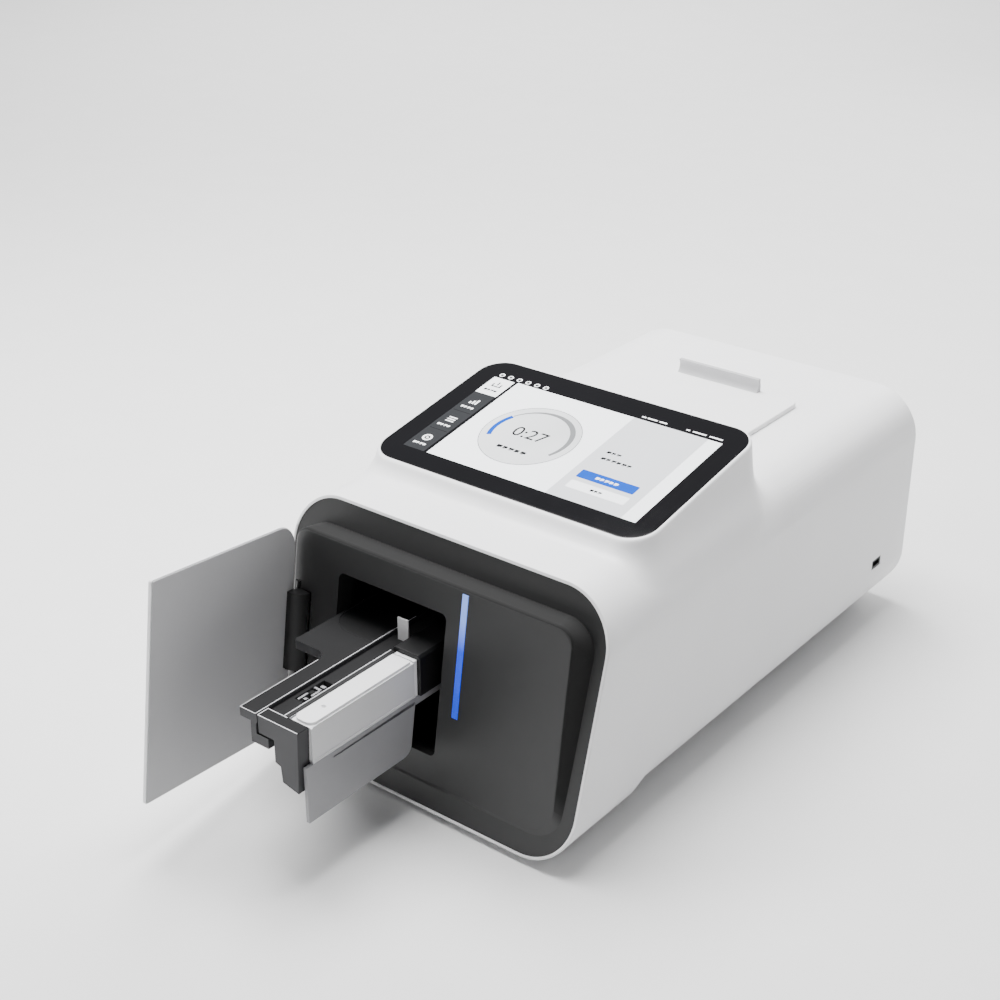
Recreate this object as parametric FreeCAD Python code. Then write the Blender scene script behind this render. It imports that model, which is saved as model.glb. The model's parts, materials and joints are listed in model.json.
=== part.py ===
import FreeCAD, Part
import math
import os

# Bench analyser for nucleic acid tests: a white moulded housing with a sloping
# touch screen, a dark front with a raised pad, a door and a cartridge drawer,
# and a service lid behind the screen.
# Working frame while the pieces are built: X to the right, Y to the back from
# the foot of the front panel, Z up from the table. At the end every piece is
# moved by the same amount, so that the origin is at the middle of the base of
# the whole object's box.

V = FreeCAD.Vector
X_AXIS = V(1, 0, 0)
Y_AXIS = V(0, 1, 0)
Z_AXIS = V(0, 0, 1)

# Housing
PANEL_WIDTH = 297.0          # dark front, between the white rims
WALL = 2.4
BODY_TOP = 208.5
BODY_DEPTH = 520.0
COLLAR_BOTTOM = 5.0          # front stretch of the housing, lower than the rest
BODY_BOTTOM = 11.0
COLLAR_DEPTH = 90.0
COLLAR_STEP = 18.0
CORNER_R = 43.5
REAR_EDGE_R = 4.0
RIM_EDGE_R = 0.9
FRONT_TILT = 15.39           # the front leans back, degrees
PANEL_FOOT = 10.4            # height at which the front plane crosses y = 0
SEAM = 0.15                  # gap where one fixed cover meets another
SEAT = 0.3                   # running gap between bodies

# Screen and the raised wedge that carries it
GLASS_W = 258.7
GLASS_H = 164.0
GLASS_R = 22.0
GLASS_T = 3.0
SCREEN_TILT = 9.93
GLASS_FRONT_Y = 111.1
GLASS_FRONT_Z = 221.0
SCREEN_RIM = 2.4
PANEL_ACTIVE_W = 226.0
PANEL_ACTIVE_H = 129.0
DISPLAY_T = 5.0
WEDGE_FRONT_Y = 84.0
WEDGE_REAR_Y = 296.0
WEDGE_ROOT_R = 20.0
WEDGE_SHARP_R = 5.0
WEDGE_STEP = 0.05            # the wedge's side, inside the housing's side
# Sections of the wedge, from the root to the rim: spread, rise, and depth below the top
WEDGE_SECTIONS = [(1.0, 0.0, 43.0), (1.0, 0.0, 4.0), (0.92, 0.0, 0.6), (0.8, 0.035, 0.0),
                  (0.68, 0.1, 0.0), (0.56, 0.2, 0.0), (0.44, 0.325, 0.0), (0.32, 0.475, 0.0),
                  (0.2, 0.645, 0.0), (0.1, 0.8, 0.0), (0.0, 1.0, 0.0)]

# Raised pad of the front and its door
PAD_TILT = 8.59
PAD_FOOT_Y = 1.8
PAD_LEFT = 17.8 - PANEL_WIDTH / 2
PAD_RIGHT = PANEL_WIDTH / 2 - 17.0
PAD_LOW = 17.0               # along the slope of the pad
PAD_HIGH = 180.0
PAD_R = 24.0
PAD_TOP_R = 12.0
PAD_FOOT_R = 26.0
PAD_DRAFT = 8.0              # how much wider the pad's foot is than its face
PAD_LOW_DRAFT = 6.0
PAD_TOP_DRAFT = 2.0
PAD_ROOT = 1.0               # how far the pad's foot is sunk into the front
PAD_EDGE_R = 2.5
BEZEL_T = 3.0
BEZEL_RECESS = 0.6
LIGHT_X = 37.0
LIGHT_W = 5.3
LIGHT_LOW = 73.0
LIGHT_HIGH = 176.0
LIGHT_DEPTH = 6.0

# Bay mouth, cut straight back through the front
MOUTH_LEFT = -84.6
MOUTH_RIGHT = 21.4
MOUTH_TOP = 163.4
MOUTH_SILL = 117.3           # under the tray's wide wing
MOUTH_MID_X = -44.0
MOUTH_MID_LOW = 99.5
MOUTH_SLOT_X = -20.0
MOUTH_LOW = 49.0
MOUTH_R = 5.0

# Door
DOOR_W = 162.7
DOOR_H = 174.8
DOOR_T = 3.2
DOOR_LOW = 8.8               # along the pad's slope from the panel's foot
DOOR_R = 22.0
DOOR_FREE_R = 2.0
DOOR_OPEN = 83.0
DOOR_EDGE_R = 1.2
LINER_T = 0.9
LINER_INSET = 0.8
HINGE_X = PAD_LEFT + 4.7
HINGE_IN = 1.0               # hinge axis, behind the face of the pad
LEAF_OFF = 2.0               # inner face of the liner from the hinge axis
LEAF_START = 4.5
ARM_R = 13.5
ARM_LOW = 63.0
ARM_HIGH = 128.0
KNUCKLE_R = 2.2
HINGE_PIN_R = 1.25
PIN_FIT = 0.1

# Drawer, drawn out
DRAWER_FRONT = -115.8
DRAWER_TRAVEL = 155.0
TRAY_TOP = 129.2
TRAY_LIP_T = 7.4
TRAY_LEFT = -49.6
WING_LEFT = -83.2
WING_FRONT = -27.5
WING_FILLET = 9.0
WEB_LEFT = -39.5
WEB_RIGHT = -34.2
SHELF_RIGHT = -22.9
SHELF_LOW = 104.5
SHELF_HIGH = 112.9
WELL_FRONT = 5.0
WELL_RIGHT = -36.5
WELL_LIP = 1.5
WELL_R = 24.0
WELL_DEPTH = 4.0
STRIP_LEFT = -33.0
STRIP_RIGHT = -16.6
STRIP_TOP = 126.6
TRAY_REAR = 108.0
FRONT_T = 11.0
PLATE_RIGHT = 6.5
CART_LEFT = -11.0
CART_RIGHT = 8.0
CART_REAR = 3.0
CART_LOW = 99.5
CART_TOP = 129.2
SKIRT_T = 3.0
SKIRT_LOW = 53.5
SKIRT_TOP = 93.0
SKIRT_REAR = 2.0
SKIRT_R = 9.0
SLOT_FRONT = -85.0
SLOT_H = 2.8
RAIL_X = -60.0
RAIL_W = 14.0
RAIL_H = 12.0
RAIL_END = 288.0
SCREW_Z = 78.0
SCREW_R = 4.0

# Bay behind the front
BAY_WALL = 2.5
BAY_LEFT = -90.0
BAY_RIGHT = 28.0
BAY_FRONT = 60.0
BAY_REAR = 292.0
DECK_Z = 46.0
ROOF_Z = 166.0
BASE_T = 2.0

# Service lid behind the screen
LID_HALF = 80.0
LID_AXIS_Y = 302.0
LID_REAR = 428.0
LID_T = 4.0
LID_GAP = 0.3
LID_R = 9.0
LID_PIN_R = 1.0
LUG_X = 58.0
LUG_W = 8.0
TAB_W = 81.0
TAB_H = 12.0
TAB_FOOT = 7.0
BAY2_HALF = 70.0
BAY2_FRONT = 312.0
BAY2_REAR = 416.0
TUB_DEPTH = 52.0
TUB_T = 2.0

# Rear
FAN_SIZE = 80.0
FAN_T = 25.0
FAN_X = PANEL_WIDTH / 2 - 66.5
FAN_Z = 110.0
INLET_X = 48.5 - PANEL_WIDTH / 2
INLET_Z = 52.0
SWITCH_X = INLET_X + 40.0
PORT_X = INLET_X + 90.0
ROCKER_R = 7.0
ROCKER_W = 12.0
FOOT_R = 10.0
FOOT_EDGE = 1.0
FOOT_FRONT_Y = 60.0
FOOT_REAR_Y = BODY_DEPTH - 50.0
BASE_HALF = PANEL_WIDTH / 2 - CORNER_R       # where the housing's underside is still flat
BASE_LIP = 7.0
FOOT_X = BASE_HALF - 20.0
LED_BOARD_T = 1.6
SIDE_PORT_Y = BODY_DEPTH - 57.0
SIDE_PORT_Z = 64.0
SIDE_PORT_W = 16.0
SIDE_PORT_H = 9.0
SCREW_HEAD_R = 3.0
SCREW_HEAD_T = 1.6
LENS_X = -1.5
LENS_Y = 110.0

# Inside
DECK_TAIL = 40.0             # how far the deck runs on behind the bay
PILLAR_R = 4.0
HEATER_FRONT = 80.0
HEATER_REAR = 170.0
FIN_W = 2.0
FIN_GAP = 10.0
FIN_H = 22.0
SINK_MARGIN = 12.0           # how much taller the heat sink is than the cartridge
BOARD_FRONT = 130.0
BOARD_REAR = 320.0
SUPPLY_LEFT = -30.0
SUPPLY_RIGHT = 60.0
SUPPLY_H = 40.0
SUPPLY_FRONT = BAY_REAR + DECK_TAIL + 13.0
SUPPLY_REAR = BODY_DEPTH - 40.0
VENT_W = 4.0
VENT_GAP = 8.0
BASE_VENTS = 8
VENT_END = -40.0


def box(x0, x1, y0, y1, z0, z1):
    return Part.makeBox(x1 - x0, y1 - y0, z1 - z0, V(x0, y0, z0))


def rod(radius, start, along, length):
    return Part.makeCylinder(radius, length, start, along)


def rounded_wire(a0, a1, b0, b1, radii, place):
    """Rounded rectangle; radii are for the corners (a0,b0) (a1,b0) (a1,b1) (a0,b1)."""
    if not isinstance(radii, tuple):
        radii = (radii,) * 4
    corners = [(a0, b0, 1, 1), (a1, b0, -1, 1), (a1, b1, -1, -1), (a0, b1, 1, -1)]
    arcs = []
    for number, ((a, b, sa, sb), r) in enumerate(zip(corners, radii)):
        k = r * (1 - math.sqrt(0.5))
        on_a = place(a + sa * r, b)
        on_b = place(a, b + sb * r)
        middle = place(a + sa * k, b + sb * k)
        first, last = (on_b, on_a) if number % 2 == 0 else (on_a, on_b)
        arcs.append((first, middle, last))
    edges = []
    for number, (first, middle, last) in enumerate(arcs):
        edges.append(Part.Arc(first, middle, last).toShape())
        edges.append(Part.LineSegment(last, arcs[(number + 1) % 4][0]).toShape())
    return Part.Wire(edges)


def across(y):
    """Plane that faces the front, at depth y."""
    return lambda a, b: V(a, y, b)


def level(z):
    """Level plane at height z."""
    return lambda a, b: V(a, b, z)


def slab(wire, along):
    return Part.Face(wire).extrude(along)


def outline_prism(points, y0, y1):
    """Straight-sided outline in X and Z, from y0 to y1."""
    corners = [V(x, y0, z) for x, z in points]
    return slab(Part.makePolygon(corners + corners[:1]), V(0, y1 - y0, 0))


def side_prism(points, x0, x1):
    """Straight-sided outline in Y and Z, from x0 to x1."""
    corners = [V(x0, y, z) for y, z in points]
    return slab(Part.makePolygon(corners + corners[:1]), V(x1 - x0, 0, 0))


def lean(shape, tilt, foot_y, foot_z):
    """Turn a piece drawn upright back by tilt and stand it on its foot."""
    shape.rotate(V(0, 0, 0), X_AXIS, -tilt)
    shape.translate(V(0, foot_y, foot_z))
    return shape


def on_pad(shape):
    """From the pad's frame: Y into the front, Z up the slope of the pad."""
    return lean(shape, PAD_TILT, PAD_FOOT_Y, PANEL_FOOT)


def on_screen(shape):
    """From the screen's frame: X across, Y up the slope, Z out of the glass."""
    shape.rotate(V(0, 0, 0), X_AXIS, SCREEN_TILT)
    shape.translate(V(0, GLASS_FRONT_Y, GLASS_FRONT_Z))
    return shape


def front_y(z):
    """Depth of the leaning front plane at height z."""
    return (z - PANEL_FOOT) * math.tan(math.radians(FRONT_TILT))


def pad_y(z):
    """Depth of the pad's face at height z."""
    return PAD_FOOT_Y + (z - PANEL_FOOT) * math.tan(math.radians(PAD_TILT))


def ahead_of_front(set_back, reach=80.0):
    """All that lies in front of the front plane, moved back by set_back."""
    top = BODY_TOP + reach
    points = [(front_y(-reach) + set_back, -reach), (front_y(top) + set_back, top),
              (-reach * 2, top), (-reach * 2, -reach)]
    half = PANEL_WIDTH
    return side_prism(points, -half, half)


def mix(a, b, t):
    return a + (b - a) * t


def wedge(inset, drop):
    """Raised wedge under the screen: its walls flare out and run softly into the housing."""
    tilt = math.radians(SCREEN_TILT)
    rim_y = GLASS_FRONT_Y - (SCREEN_RIM - inset) * math.cos(tilt) + drop * math.sin(tilt)
    rim_z = GLASS_FRONT_Z - (SCREEN_RIM - inset) * math.sin(tilt) - drop * math.cos(tilt)
    rim_h = GLASS_H + 2 * SCREEN_RIM - 2 * inset
    near = (rim_y, rim_z)
    far = (rim_y + rim_h * math.cos(tilt), rim_z + rim_h * math.sin(tilt))
    wires = [wedge_section(spread, rise, sink, inset, near, far)
             for spread, rise, sink in WEDGE_SECTIONS]
    return Part.makeLoft(wires, True, True)


def wedge_section(spread, rise, sink, inset, near, far):
    """Spread 0 is the screen's rim and 1 the root; rise is up to the rim, sink below the top."""
    top = BODY_TOP - inset
    near_y = mix(near[0], WEDGE_FRONT_Y + inset, spread)
    far_y = mix(far[0], WEDGE_REAR_Y - inset, min(spread, 1.0))
    near_z = mix(top, near[1], rise) - sink
    far_z = mix(top, far[1], rise) - sink
    flare = math.sin(min(spread, 1.0) * math.pi / 2)
    half = mix(GLASS_W / 2 + SCREEN_RIM, PANEL_WIDTH / 2 + WALL - WEDGE_STEP, flare) - inset
    rim_r = GLASS_R + SCREEN_RIM - inset
    soft_r = mix(rim_r, WEDGE_ROOT_R - inset, flare)
    sharp_r = mix(mix(rim_r, WEDGE_SHARP_R - inset, min(1.0, 2.5 * spread)), WEDGE_ROOT_R - inset,
                  max(0.0, 2 * spread - 1.0))
    length = math.hypot(far_y - near_y, far_z - near_z)
    step_y = (far_y - near_y) / length
    step_z = (far_z - near_z) / length

    def place(a, b):
        return V(a, near_y + b * step_y, near_z + b * step_z)
    return rounded_wire(-half, half, 0, length, (sharp_r, sharp_r, soft_r, soft_r), place)


def housing_form(inset, front, rear, drop):
    half = PANEL_WIDTH / 2 + WALL - inset
    stations = [(front, COLLAR_BOTTOM), (COLLAR_DEPTH, COLLAR_BOTTOM),
                (COLLAR_DEPTH + COLLAR_STEP, BODY_BOTTOM), (rear, BODY_BOTTOM)]
    wires = [rounded_wire(-half, half, low + inset, BODY_TOP - inset, CORNER_R - inset, across(y))
             for y, low in stations]
    body = Part.makeLoft(wires, True, True)
    return body.fuse(wedge(inset, drop)).removeSplitter()


def main_housing():
    outer = housing_form(0.0, -30.0, BODY_DEPTH, 0.0)
    edges = [e for e in outer.Edges
             if abs(e.BoundBox.YMin - BODY_DEPTH) < 0.01 and abs(e.BoundBox.YMax - BODY_DEPTH) < 0.01]
    outer = outer.makeFillet(REAR_EDGE_R, edges)
    void = housing_form(WALL, -40.0, BODY_DEPTH + 10.0, GLASS_T + DISPLAY_T)
    shell = outer.cut(void)
    shell = shell.cut(ahead_of_front(0.0))
    shell = shell.makeFillet(RIM_EDGE_R, rim_edges(shell))
    glass_seat = slab(rounded_wire(-GLASS_W / 2 - SEAM, GLASS_W / 2 + SEAM, -SEAM, GLASS_H + SEAM,
                                   GLASS_R, level(-GLASS_T)), V(0, 0, 3 * GLASS_T))
    mid_v = GLASS_H / 2
    window = box(-PANEL_ACTIVE_W / 2 - 4, PANEL_ACTIVE_W / 2 + 4,
                 mid_v - PANEL_ACTIVE_H / 2 - 4, mid_v + PANEL_ACTIVE_H / 2 + 4, -30, 10)
    shell = shell.cut(on_screen(glass_seat)).cut(on_screen(window))
    inside = BASE_HALF - BASE_LIP
    base_window = box(-inside, inside, base_front() + BASE_LIP, BODY_DEPTH - 20, 0, BODY_BOTTOM + 6)
    lid_hole = box(-BAY2_HALF, BAY2_HALF, BAY2_FRONT, BAY2_REAR, BODY_TOP - 10, BODY_TOP + 10)
    side_x = PANEL_WIDTH / 2
    port_hole = box(side_x - 28.5, side_x + 21.5, SIDE_PORT_Y - SIDE_PORT_W / 2 - SEAM, SIDE_PORT_Y + SIDE_PORT_W / 2 + SEAM,
                    SIDE_PORT_Z - SIDE_PORT_H / 2 - SEAM, SIDE_PORT_Z + SIDE_PORT_H / 2 + SEAM)
    shell = shell.cut(base_window).cut(lid_hole).cut(port_hole)
    for x in (-LUG_X, LUG_X):
        shell = shell.fuse(lid_lug(x))
    return shell


def rim_edges(shell):
    """Outer edge of the housing around the dark front."""
    half = PANEL_WIDTH / 2
    edges = []
    for e in shell.Edges:
        middle = e.valueAt((e.FirstParameter + e.LastParameter) / 2)
        ends = [v.Point for v in e.Vertexes] + [middle]
        if any(abs(p.y - front_y(p.z)) > 0.01 for p in ends):
            continue
        outside = (abs(middle.x) > half + 0.1 or middle.z > BODY_TOP - WALL / 2
                   or middle.z < COLLAR_BOTTOM + WALL / 2)
        arc_gap = math.hypot(abs(middle.x) - (half + WALL - CORNER_R), 0)
        corner = abs(middle.x) > half + WALL - CORNER_R and e.Curve.TypeId != "Part::GeomLine"
        if corner:
            centre_z = COLLAR_BOTTOM + CORNER_R if middle.z < 100 else BODY_TOP - CORNER_R
            outside = math.hypot(arc_gap, middle.z - centre_z) > CORNER_R - WALL / 2
        if outside:
            edges.append(e)
    return edges


def base_front():
    return COLLAR_DEPTH + COLLAR_STEP + 2.0


def base_top():
    return BODY_BOTTOM + WALL + BASE_T


def bay_front(z):
    """Depth at height z where the bay's sheets meet the back of the front."""
    return front_y(z) + (BEZEL_RECESS + BEZEL_T + 1.0) / math.cos(math.radians(FRONT_TILT))


def lid_lug(x):
    """Small ear on the housing that holds the lid's pin."""
    z = lid_axis_z()
    foot = box(x - LUG_W / 2, x + LUG_W / 2, LID_AXIS_Y - 2.0, LID_AXIS_Y + 2.0, BODY_TOP - 1.0, z)
    ear = rod(2.0, V(x - LUG_W / 2, LID_AXIS_Y, z), X_AXIS, LUG_W)
    bore = rod(LID_PIN_R, V(x - LUG_W, LID_AXIS_Y, z), X_AXIS, 2 * LUG_W)
    return foot.fuse(ear).cut(bore)


def lid_axis_z():
    return BODY_TOP + LID_GAP + LID_T / 2


def mouth():
    """Stepped bay mouth: wide above, and a narrow slot for the drawer's keel."""
    reach = 120.0
    upper = slab(rounded_wire(MOUTH_LEFT, MOUTH_RIGHT, MOUTH_SILL, MOUTH_TOP,
                              (MOUTH_R, 0.5, MOUTH_R, MOUTH_R), across(-reach)), V(0, 2 * reach, 0))
    middle = slab(rounded_wire(MOUTH_MID_X, MOUTH_RIGHT, MOUTH_MID_LOW, MOUTH_TOP - MOUTH_R,
                               (MOUTH_R, 0.5, 0.5, 0.5), across(-reach)), V(0, 2 * reach, 0))
    slot = slab(rounded_wire(MOUTH_SLOT_X, MOUTH_RIGHT, MOUTH_LOW, MOUTH_TOP - MOUTH_R,
                             (MOUTH_R, MOUTH_R, 0.5, 0.5), across(-reach)), V(0, 2 * reach, 0))
    return upper.fuse(middle).fuse(slot)


def hinge_pocket():
    """Room in the pad for the hinge arm, as it swings in."""
    gap = 0.7
    sector = Part.makeCylinder(ARM_R + gap, ARM_HIGH - ARM_LOW + 2 * gap, V(0, 0, ARM_LOW - gap),
                               Z_AXIS, 115.0)
    sector.rotate(V(0, 0, 0), Z_AXIS, -25.0)
    root = rod(KNUCKLE_R + gap, V(0, 0, ARM_LOW - 6 - gap), Z_AXIS, ARM_HIGH - ARM_LOW + 12 + 2 * gap)
    pocket = sector.fuse(root)
    pocket.translate(V(HINGE_X, HINGE_IN, 0))
    return on_pad(pocket)


def front_pad():
    """Raised pad: its walls run from the face out to a foot that lies in the leaning front."""
    lean_in = math.radians(FRONT_TILT - PAD_TILT)
    meet = (PAD_FOOT_Y - BEZEL_RECESS - PAD_ROOT) / math.tan(lean_in)

    def in_front(a, b):
        along = b - meet
        return V(a, along * math.sin(lean_in), meet + along * math.cos(lean_in))
    face = rounded_wire(PAD_LEFT, PAD_RIGHT, PAD_LOW, PAD_HIGH, (PAD_R, PAD_R, PAD_TOP_R, PAD_TOP_R),
                        across(0.0))
    foot = rounded_wire(PAD_LEFT - PAD_DRAFT, PAD_RIGHT + PAD_DRAFT, PAD_LOW - PAD_LOW_DRAFT,
                        PAD_HIGH + PAD_TOP_DRAFT, PAD_FOOT_R, in_front)
    pad = Part.makeLoft([face, foot], True, True)
    rim = [e for e in pad.Edges if abs(e.BoundBox.YMax) < 0.01 and abs(e.BoundBox.YMin) < 0.01]
    return pad.makeFillet(PAD_EDGE_R, rim)


def front_bezel():
    half = PANEL_WIDTH / 2 - SEAM
    low = COLLAR_BOTTOM + WALL + SEAM
    high = BODY_TOP - WALL - SEAM
    block = slab(rounded_wire(-half, half, low, high, CORNER_R - WALL - SEAM, across(-60.0)),
                 V(0, 160.0, 0))
    sheet = block.cut(ahead_of_front(BEZEL_RECESS)).common(ahead_of_front(BEZEL_RECESS + BEZEL_T))
    bezel = sheet.fuse(on_pad(front_pad())).removeSplitter()
    groove = box(LIGHT_X - LIGHT_W / 2 - SEAM, LIGHT_X + LIGHT_W / 2 + SEAM, -5,
                 LIGHT_DEPTH + LED_BOARD_T, LIGHT_LOW - SEAM, LIGHT_HIGH + SEAM)
    groove = groove.cut(light_slant(-5.0, SEAM))
    bezel = bezel.cut(mouth()).cut(hinge_pocket()).cut(on_pad(groove))
    for height in (ARM_LOW - 6.0, ARM_HIGH + SEAT):
        ear = rod(KNUCKLE_R, V(HINGE_X, HINGE_IN, height), Z_AXIS, 6.0 - SEAT)
        web = box(HINGE_X - KNUCKLE_R, HINGE_X + 1, HINGE_IN, HINGE_IN + 8, height, height + 6.0 - SEAT)
        bore = rod(HINGE_PIN_R, V(HINGE_X, HINGE_IN, height - 1), Z_AXIS, 8.0)
        bezel = bezel.fuse(on_pad(ear.fuse(web).cut(bore)))
    return bezel


def light_slant(near, gap):
    """What the slanted lower end of the light bar leaves out."""
    slope = (LIGHT_W + 1.0) / (LIGHT_DEPTH + 1.0)
    foot_z = LIGHT_LOW - 1.0 - gap
    foot_y = LIGHT_DEPTH
    return side_prism([(near, foot_z), (foot_y, foot_z), (near, foot_z + (foot_y - near) * slope)],
                      LIGHT_X - LIGHT_W, LIGHT_X + LIGHT_W)


def light_bar():
    bar = box(LIGHT_X - LIGHT_W / 2, LIGHT_X + LIGHT_W / 2, -0.4, LIGHT_DEPTH, LIGHT_LOW, LIGHT_HIGH)
    return on_pad(bar.cut(light_slant(-1.0, 0.0)))


def door_place(shape):
    """From the door's own frame, hinge axis at the origin and leaf along +X, to open."""
    shape.rotate(V(0, 0, 0), Z_AXIS, -DOOR_OPEN)
    shape.translate(V(HINGE_X, HINGE_IN, 0))
    return on_pad(shape)


def door_panel(inset, near, thick):
    """Flat panel in the door's frame, smaller than the leaf by inset all round."""
    big = DOOR_R - inset
    small = DOOR_FREE_R - inset
    outline = rounded_wire(LEAF_START + inset, LEAF_START + DOOR_W - inset, DOOR_LOW + inset,
                           DOOR_LOW + DOOR_H - inset, (big, small, small, big), across(near))
    return slab(outline, V(0, thick, 0))


def door_leaf():
    leaf = door_panel(0.0, -LEAF_OFF - LINER_T - DOOR_T, DOOR_T)
    edges = [e for e in leaf.Edges if e.BoundBox.YMax < -LEAF_OFF - LINER_T - DOOR_T + 0.01]
    return door_place(leaf.makeFillet(DOOR_EDGE_R, edges))


def door_liner():
    """Grey sheet on the inner face of the leaf."""
    return door_place(door_panel(LINER_INSET, -LEAF_OFF - LINER_T, LINER_T))


def hinge_arm():
    """Quarter-round arm that carries the leaf and turns into the pad."""
    height = ARM_HIGH - ARM_LOW
    sector = Part.makeCylinder(ARM_R, height, V(0, 0, ARM_LOW), Z_AXIS, 74.0)
    sector.rotate(V(0, 0, 0), Z_AXIS, 2.0)
    flat = box(LEAF_START, ARM_R - 1.0, -LEAF_OFF, 1.5, ARM_LOW, ARM_HIGH)
    knuckle = rod(LEAF_OFF, V(0, 0, ARM_LOW), Z_AXIS, height)
    bore = rod(HINGE_PIN_R + PIN_FIT, V(0, 0, ARM_LOW - 1), Z_AXIS, height + 2)
    return door_place(sector.fuse(flat).fuse(knuckle).cut(bore).removeSplitter())


def hinge_pin():
    pin = rod(HINGE_PIN_R, V(HINGE_X, HINGE_IN, ARM_LOW - 6.0), Z_AXIS, ARM_HIGH - ARM_LOW + 12.0)
    return on_pad(pin)


def drawer_tray():
    """Grey tray: lip, web and shelf along the drawer, with a wide wing at the back."""
    lip_low = TRAY_TOP - TRAY_LIP_T
    narrow = box(TRAY_LEFT, WEB_RIGHT + 1.2, DRAWER_FRONT, TRAY_REAR, lip_low, TRAY_TOP)
    wing = box(WING_LEFT, TRAY_LEFT + 1, WING_FRONT, TRAY_REAR, lip_low, TRAY_TOP)
    web = box(WEB_LEFT, WEB_RIGHT, DRAWER_FRONT, TRAY_REAR, SHELF_LOW, lip_low + 1)
    shelf = box(WEB_LEFT, SHELF_RIGHT, DRAWER_FRONT, TRAY_REAR, SHELF_LOW, SHELF_HIGH)
    tray = narrow.fuse(wing).fuse(web).fuse(shelf).removeSplitter()
    inner = [e for e in tray.Edges if e.BoundBox.ZLength > TRAY_LIP_T - 0.1
             and abs(e.BoundBox.XMin - TRAY_LEFT) < 0.1 and abs(e.BoundBox.YMin - WING_FRONT) < 0.1]
    outer = [e for e in tray.Edges if abs(e.BoundBox.ZLength - TRAY_LIP_T) < 0.1
             and abs(e.BoundBox.XMin - WING_LEFT) < 0.1 and abs(e.BoundBox.YMin - WING_FRONT) < 0.1]
    tray = tray.makeFillet(WING_FILLET, inner).makeFillet(2.0, outer)
    return tray.cut(tray_well(0.0, TRAY_TOP - WELL_DEPTH, TRAY_TOP + 1.0))


def tray_well(gap, low, high):
    """Well in the wing of the tray, with one large round corner."""
    wire = rounded_wire(WING_LEFT + WELL_LIP + gap, WELL_RIGHT - gap, WELL_FRONT + gap,
                        TRAY_REAR - WELL_LIP - gap, (WELL_R - gap, 1.0, 2.0, 2.0), level(low))
    return slab(wire, V(0, 0, high - low))


def slide_plate():
    """Black plate that fills the well."""
    return tray_well(0.2, TRAY_TOP - WELL_DEPTH, TRAY_TOP - 0.6)


def drawer_strip():
    """Sunken strip beside the cartridge, with a cut-out near the front."""
    strip = box(STRIP_LEFT + 0.5, STRIP_RIGHT - 0.5, DRAWER_FRONT + FRONT_T, TRAY_REAR - 1,
                STRIP_TOP - 8.0, STRIP_TOP)
    hole = box(STRIP_LEFT + 3.5, STRIP_RIGHT - 3.0, -82.0, -52.0, STRIP_TOP - 5.0, STRIP_TOP + 1)
    bridge = box(STRIP_LEFT + 3.0, STRIP_RIGHT - 2.5, -69.0, -65.0, STRIP_TOP - 5.0, STRIP_TOP - 1.5)
    return strip.cut(hole).fuse(bridge)


def drawer_frame():
    """Bright frame between the strip and the cartridge, closed under the cartridge."""
    y0 = DRAWER_FRONT + FRONT_T
    left = box(STRIP_RIGHT, CART_LEFT - 1.2, y0, CART_REAR + 3.0, CART_LOW - 5.0, CART_TOP)
    floor = box(STRIP_RIGHT, CART_RIGHT - 2.0, y0, TRAY_REAR - 1, CART_LOW - 5.0, CART_LOW)
    return left.fuse(floor).removeSplitter()


def drawer_front():
    """Stepped front plate of the drawer."""
    y0 = DRAWER_FRONT
    points = [(STRIP_LEFT + 0.7, TRAY_TOP), (PLATE_RIGHT, TRAY_TOP), (PLATE_RIGHT - 2.3, 78.1),
              (-11.3, 81.7), (-12.5, 94.2), (SHELF_RIGHT + 5.4, 95.8), (SHELF_RIGHT + 5.4, 114.2),
              (STRIP_LEFT + 0.7, 114.2)]
    return outline_prism(points, y0, y0 + FRONT_T)


def drawer_skirt():
    """Keel plate under the cartridge, with a slot along its top."""
    x0 = CART_RIGHT - 2.0
    points = [(DRAWER_FRONT + 4.0, SKIRT_LOW), (SKIRT_REAR - 6.0, SKIRT_LOW), (SKIRT_REAR, SKIRT_TOP),
              (TRAY_REAR - 1.0, SKIRT_TOP), (TRAY_REAR - 1.0, CART_LOW),
              (DRAWER_FRONT + 4.0, CART_LOW)]
    plate = side_prism(points, x0, x0 + SKIRT_T)
    corner = [e for e in plate.Edges if e.BoundBox.XLength > SKIRT_T - 0.1
              and abs(e.BoundBox.YMin - (SKIRT_REAR - 6.0)) < 0.1 and e.BoundBox.ZMax < SKIRT_LOW + 0.1]
    plate = plate.makeFillet(SKIRT_R, corner)
    slot = side_prism([(SLOT_FRONT, SKIRT_TOP + 1.4), (SKIRT_REAR, SKIRT_TOP + 0.6),
                       (SKIRT_REAR, SKIRT_TOP + 0.6 + SLOT_H), (SLOT_FRONT, SKIRT_TOP + 1.4 + SLOT_H / 2)],
                      x0 - 1, x0 + SKIRT_T + 1)
    return plate.cut(slot)


def cartridge_body():
    body = box(CART_LEFT, CART_RIGHT - 1.0, DRAWER_FRONT + FRONT_T + 0.5, CART_REAR, CART_LOW,
               CART_TOP - 0.8)
    return body.makeFillet(1.2, [e for e in body.Edges if e.BoundBox.ZLength > 20])


def cartridge_cover():
    """White top of the cartridge, round at its front end, with a small dimple."""
    y0 = DRAWER_FRONT + FRONT_T + 2.0
    wire = rounded_wire(CART_LEFT + 0.3, CART_RIGHT - 1.3, y0, CART_REAR - 2.0,
                        (6.0, 6.0, 0.8, 0.8), level(CART_TOP - 0.8))
    cover = slab(wire, V(0, 0, 2.0))
    dimple = rod(1.8, V((CART_LEFT + CART_RIGHT) / 2 - 1.0, y0 + 22.0, CART_TOP + 0.7), Z_AXIS, 2)
    return cover.cut(dimple)


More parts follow.
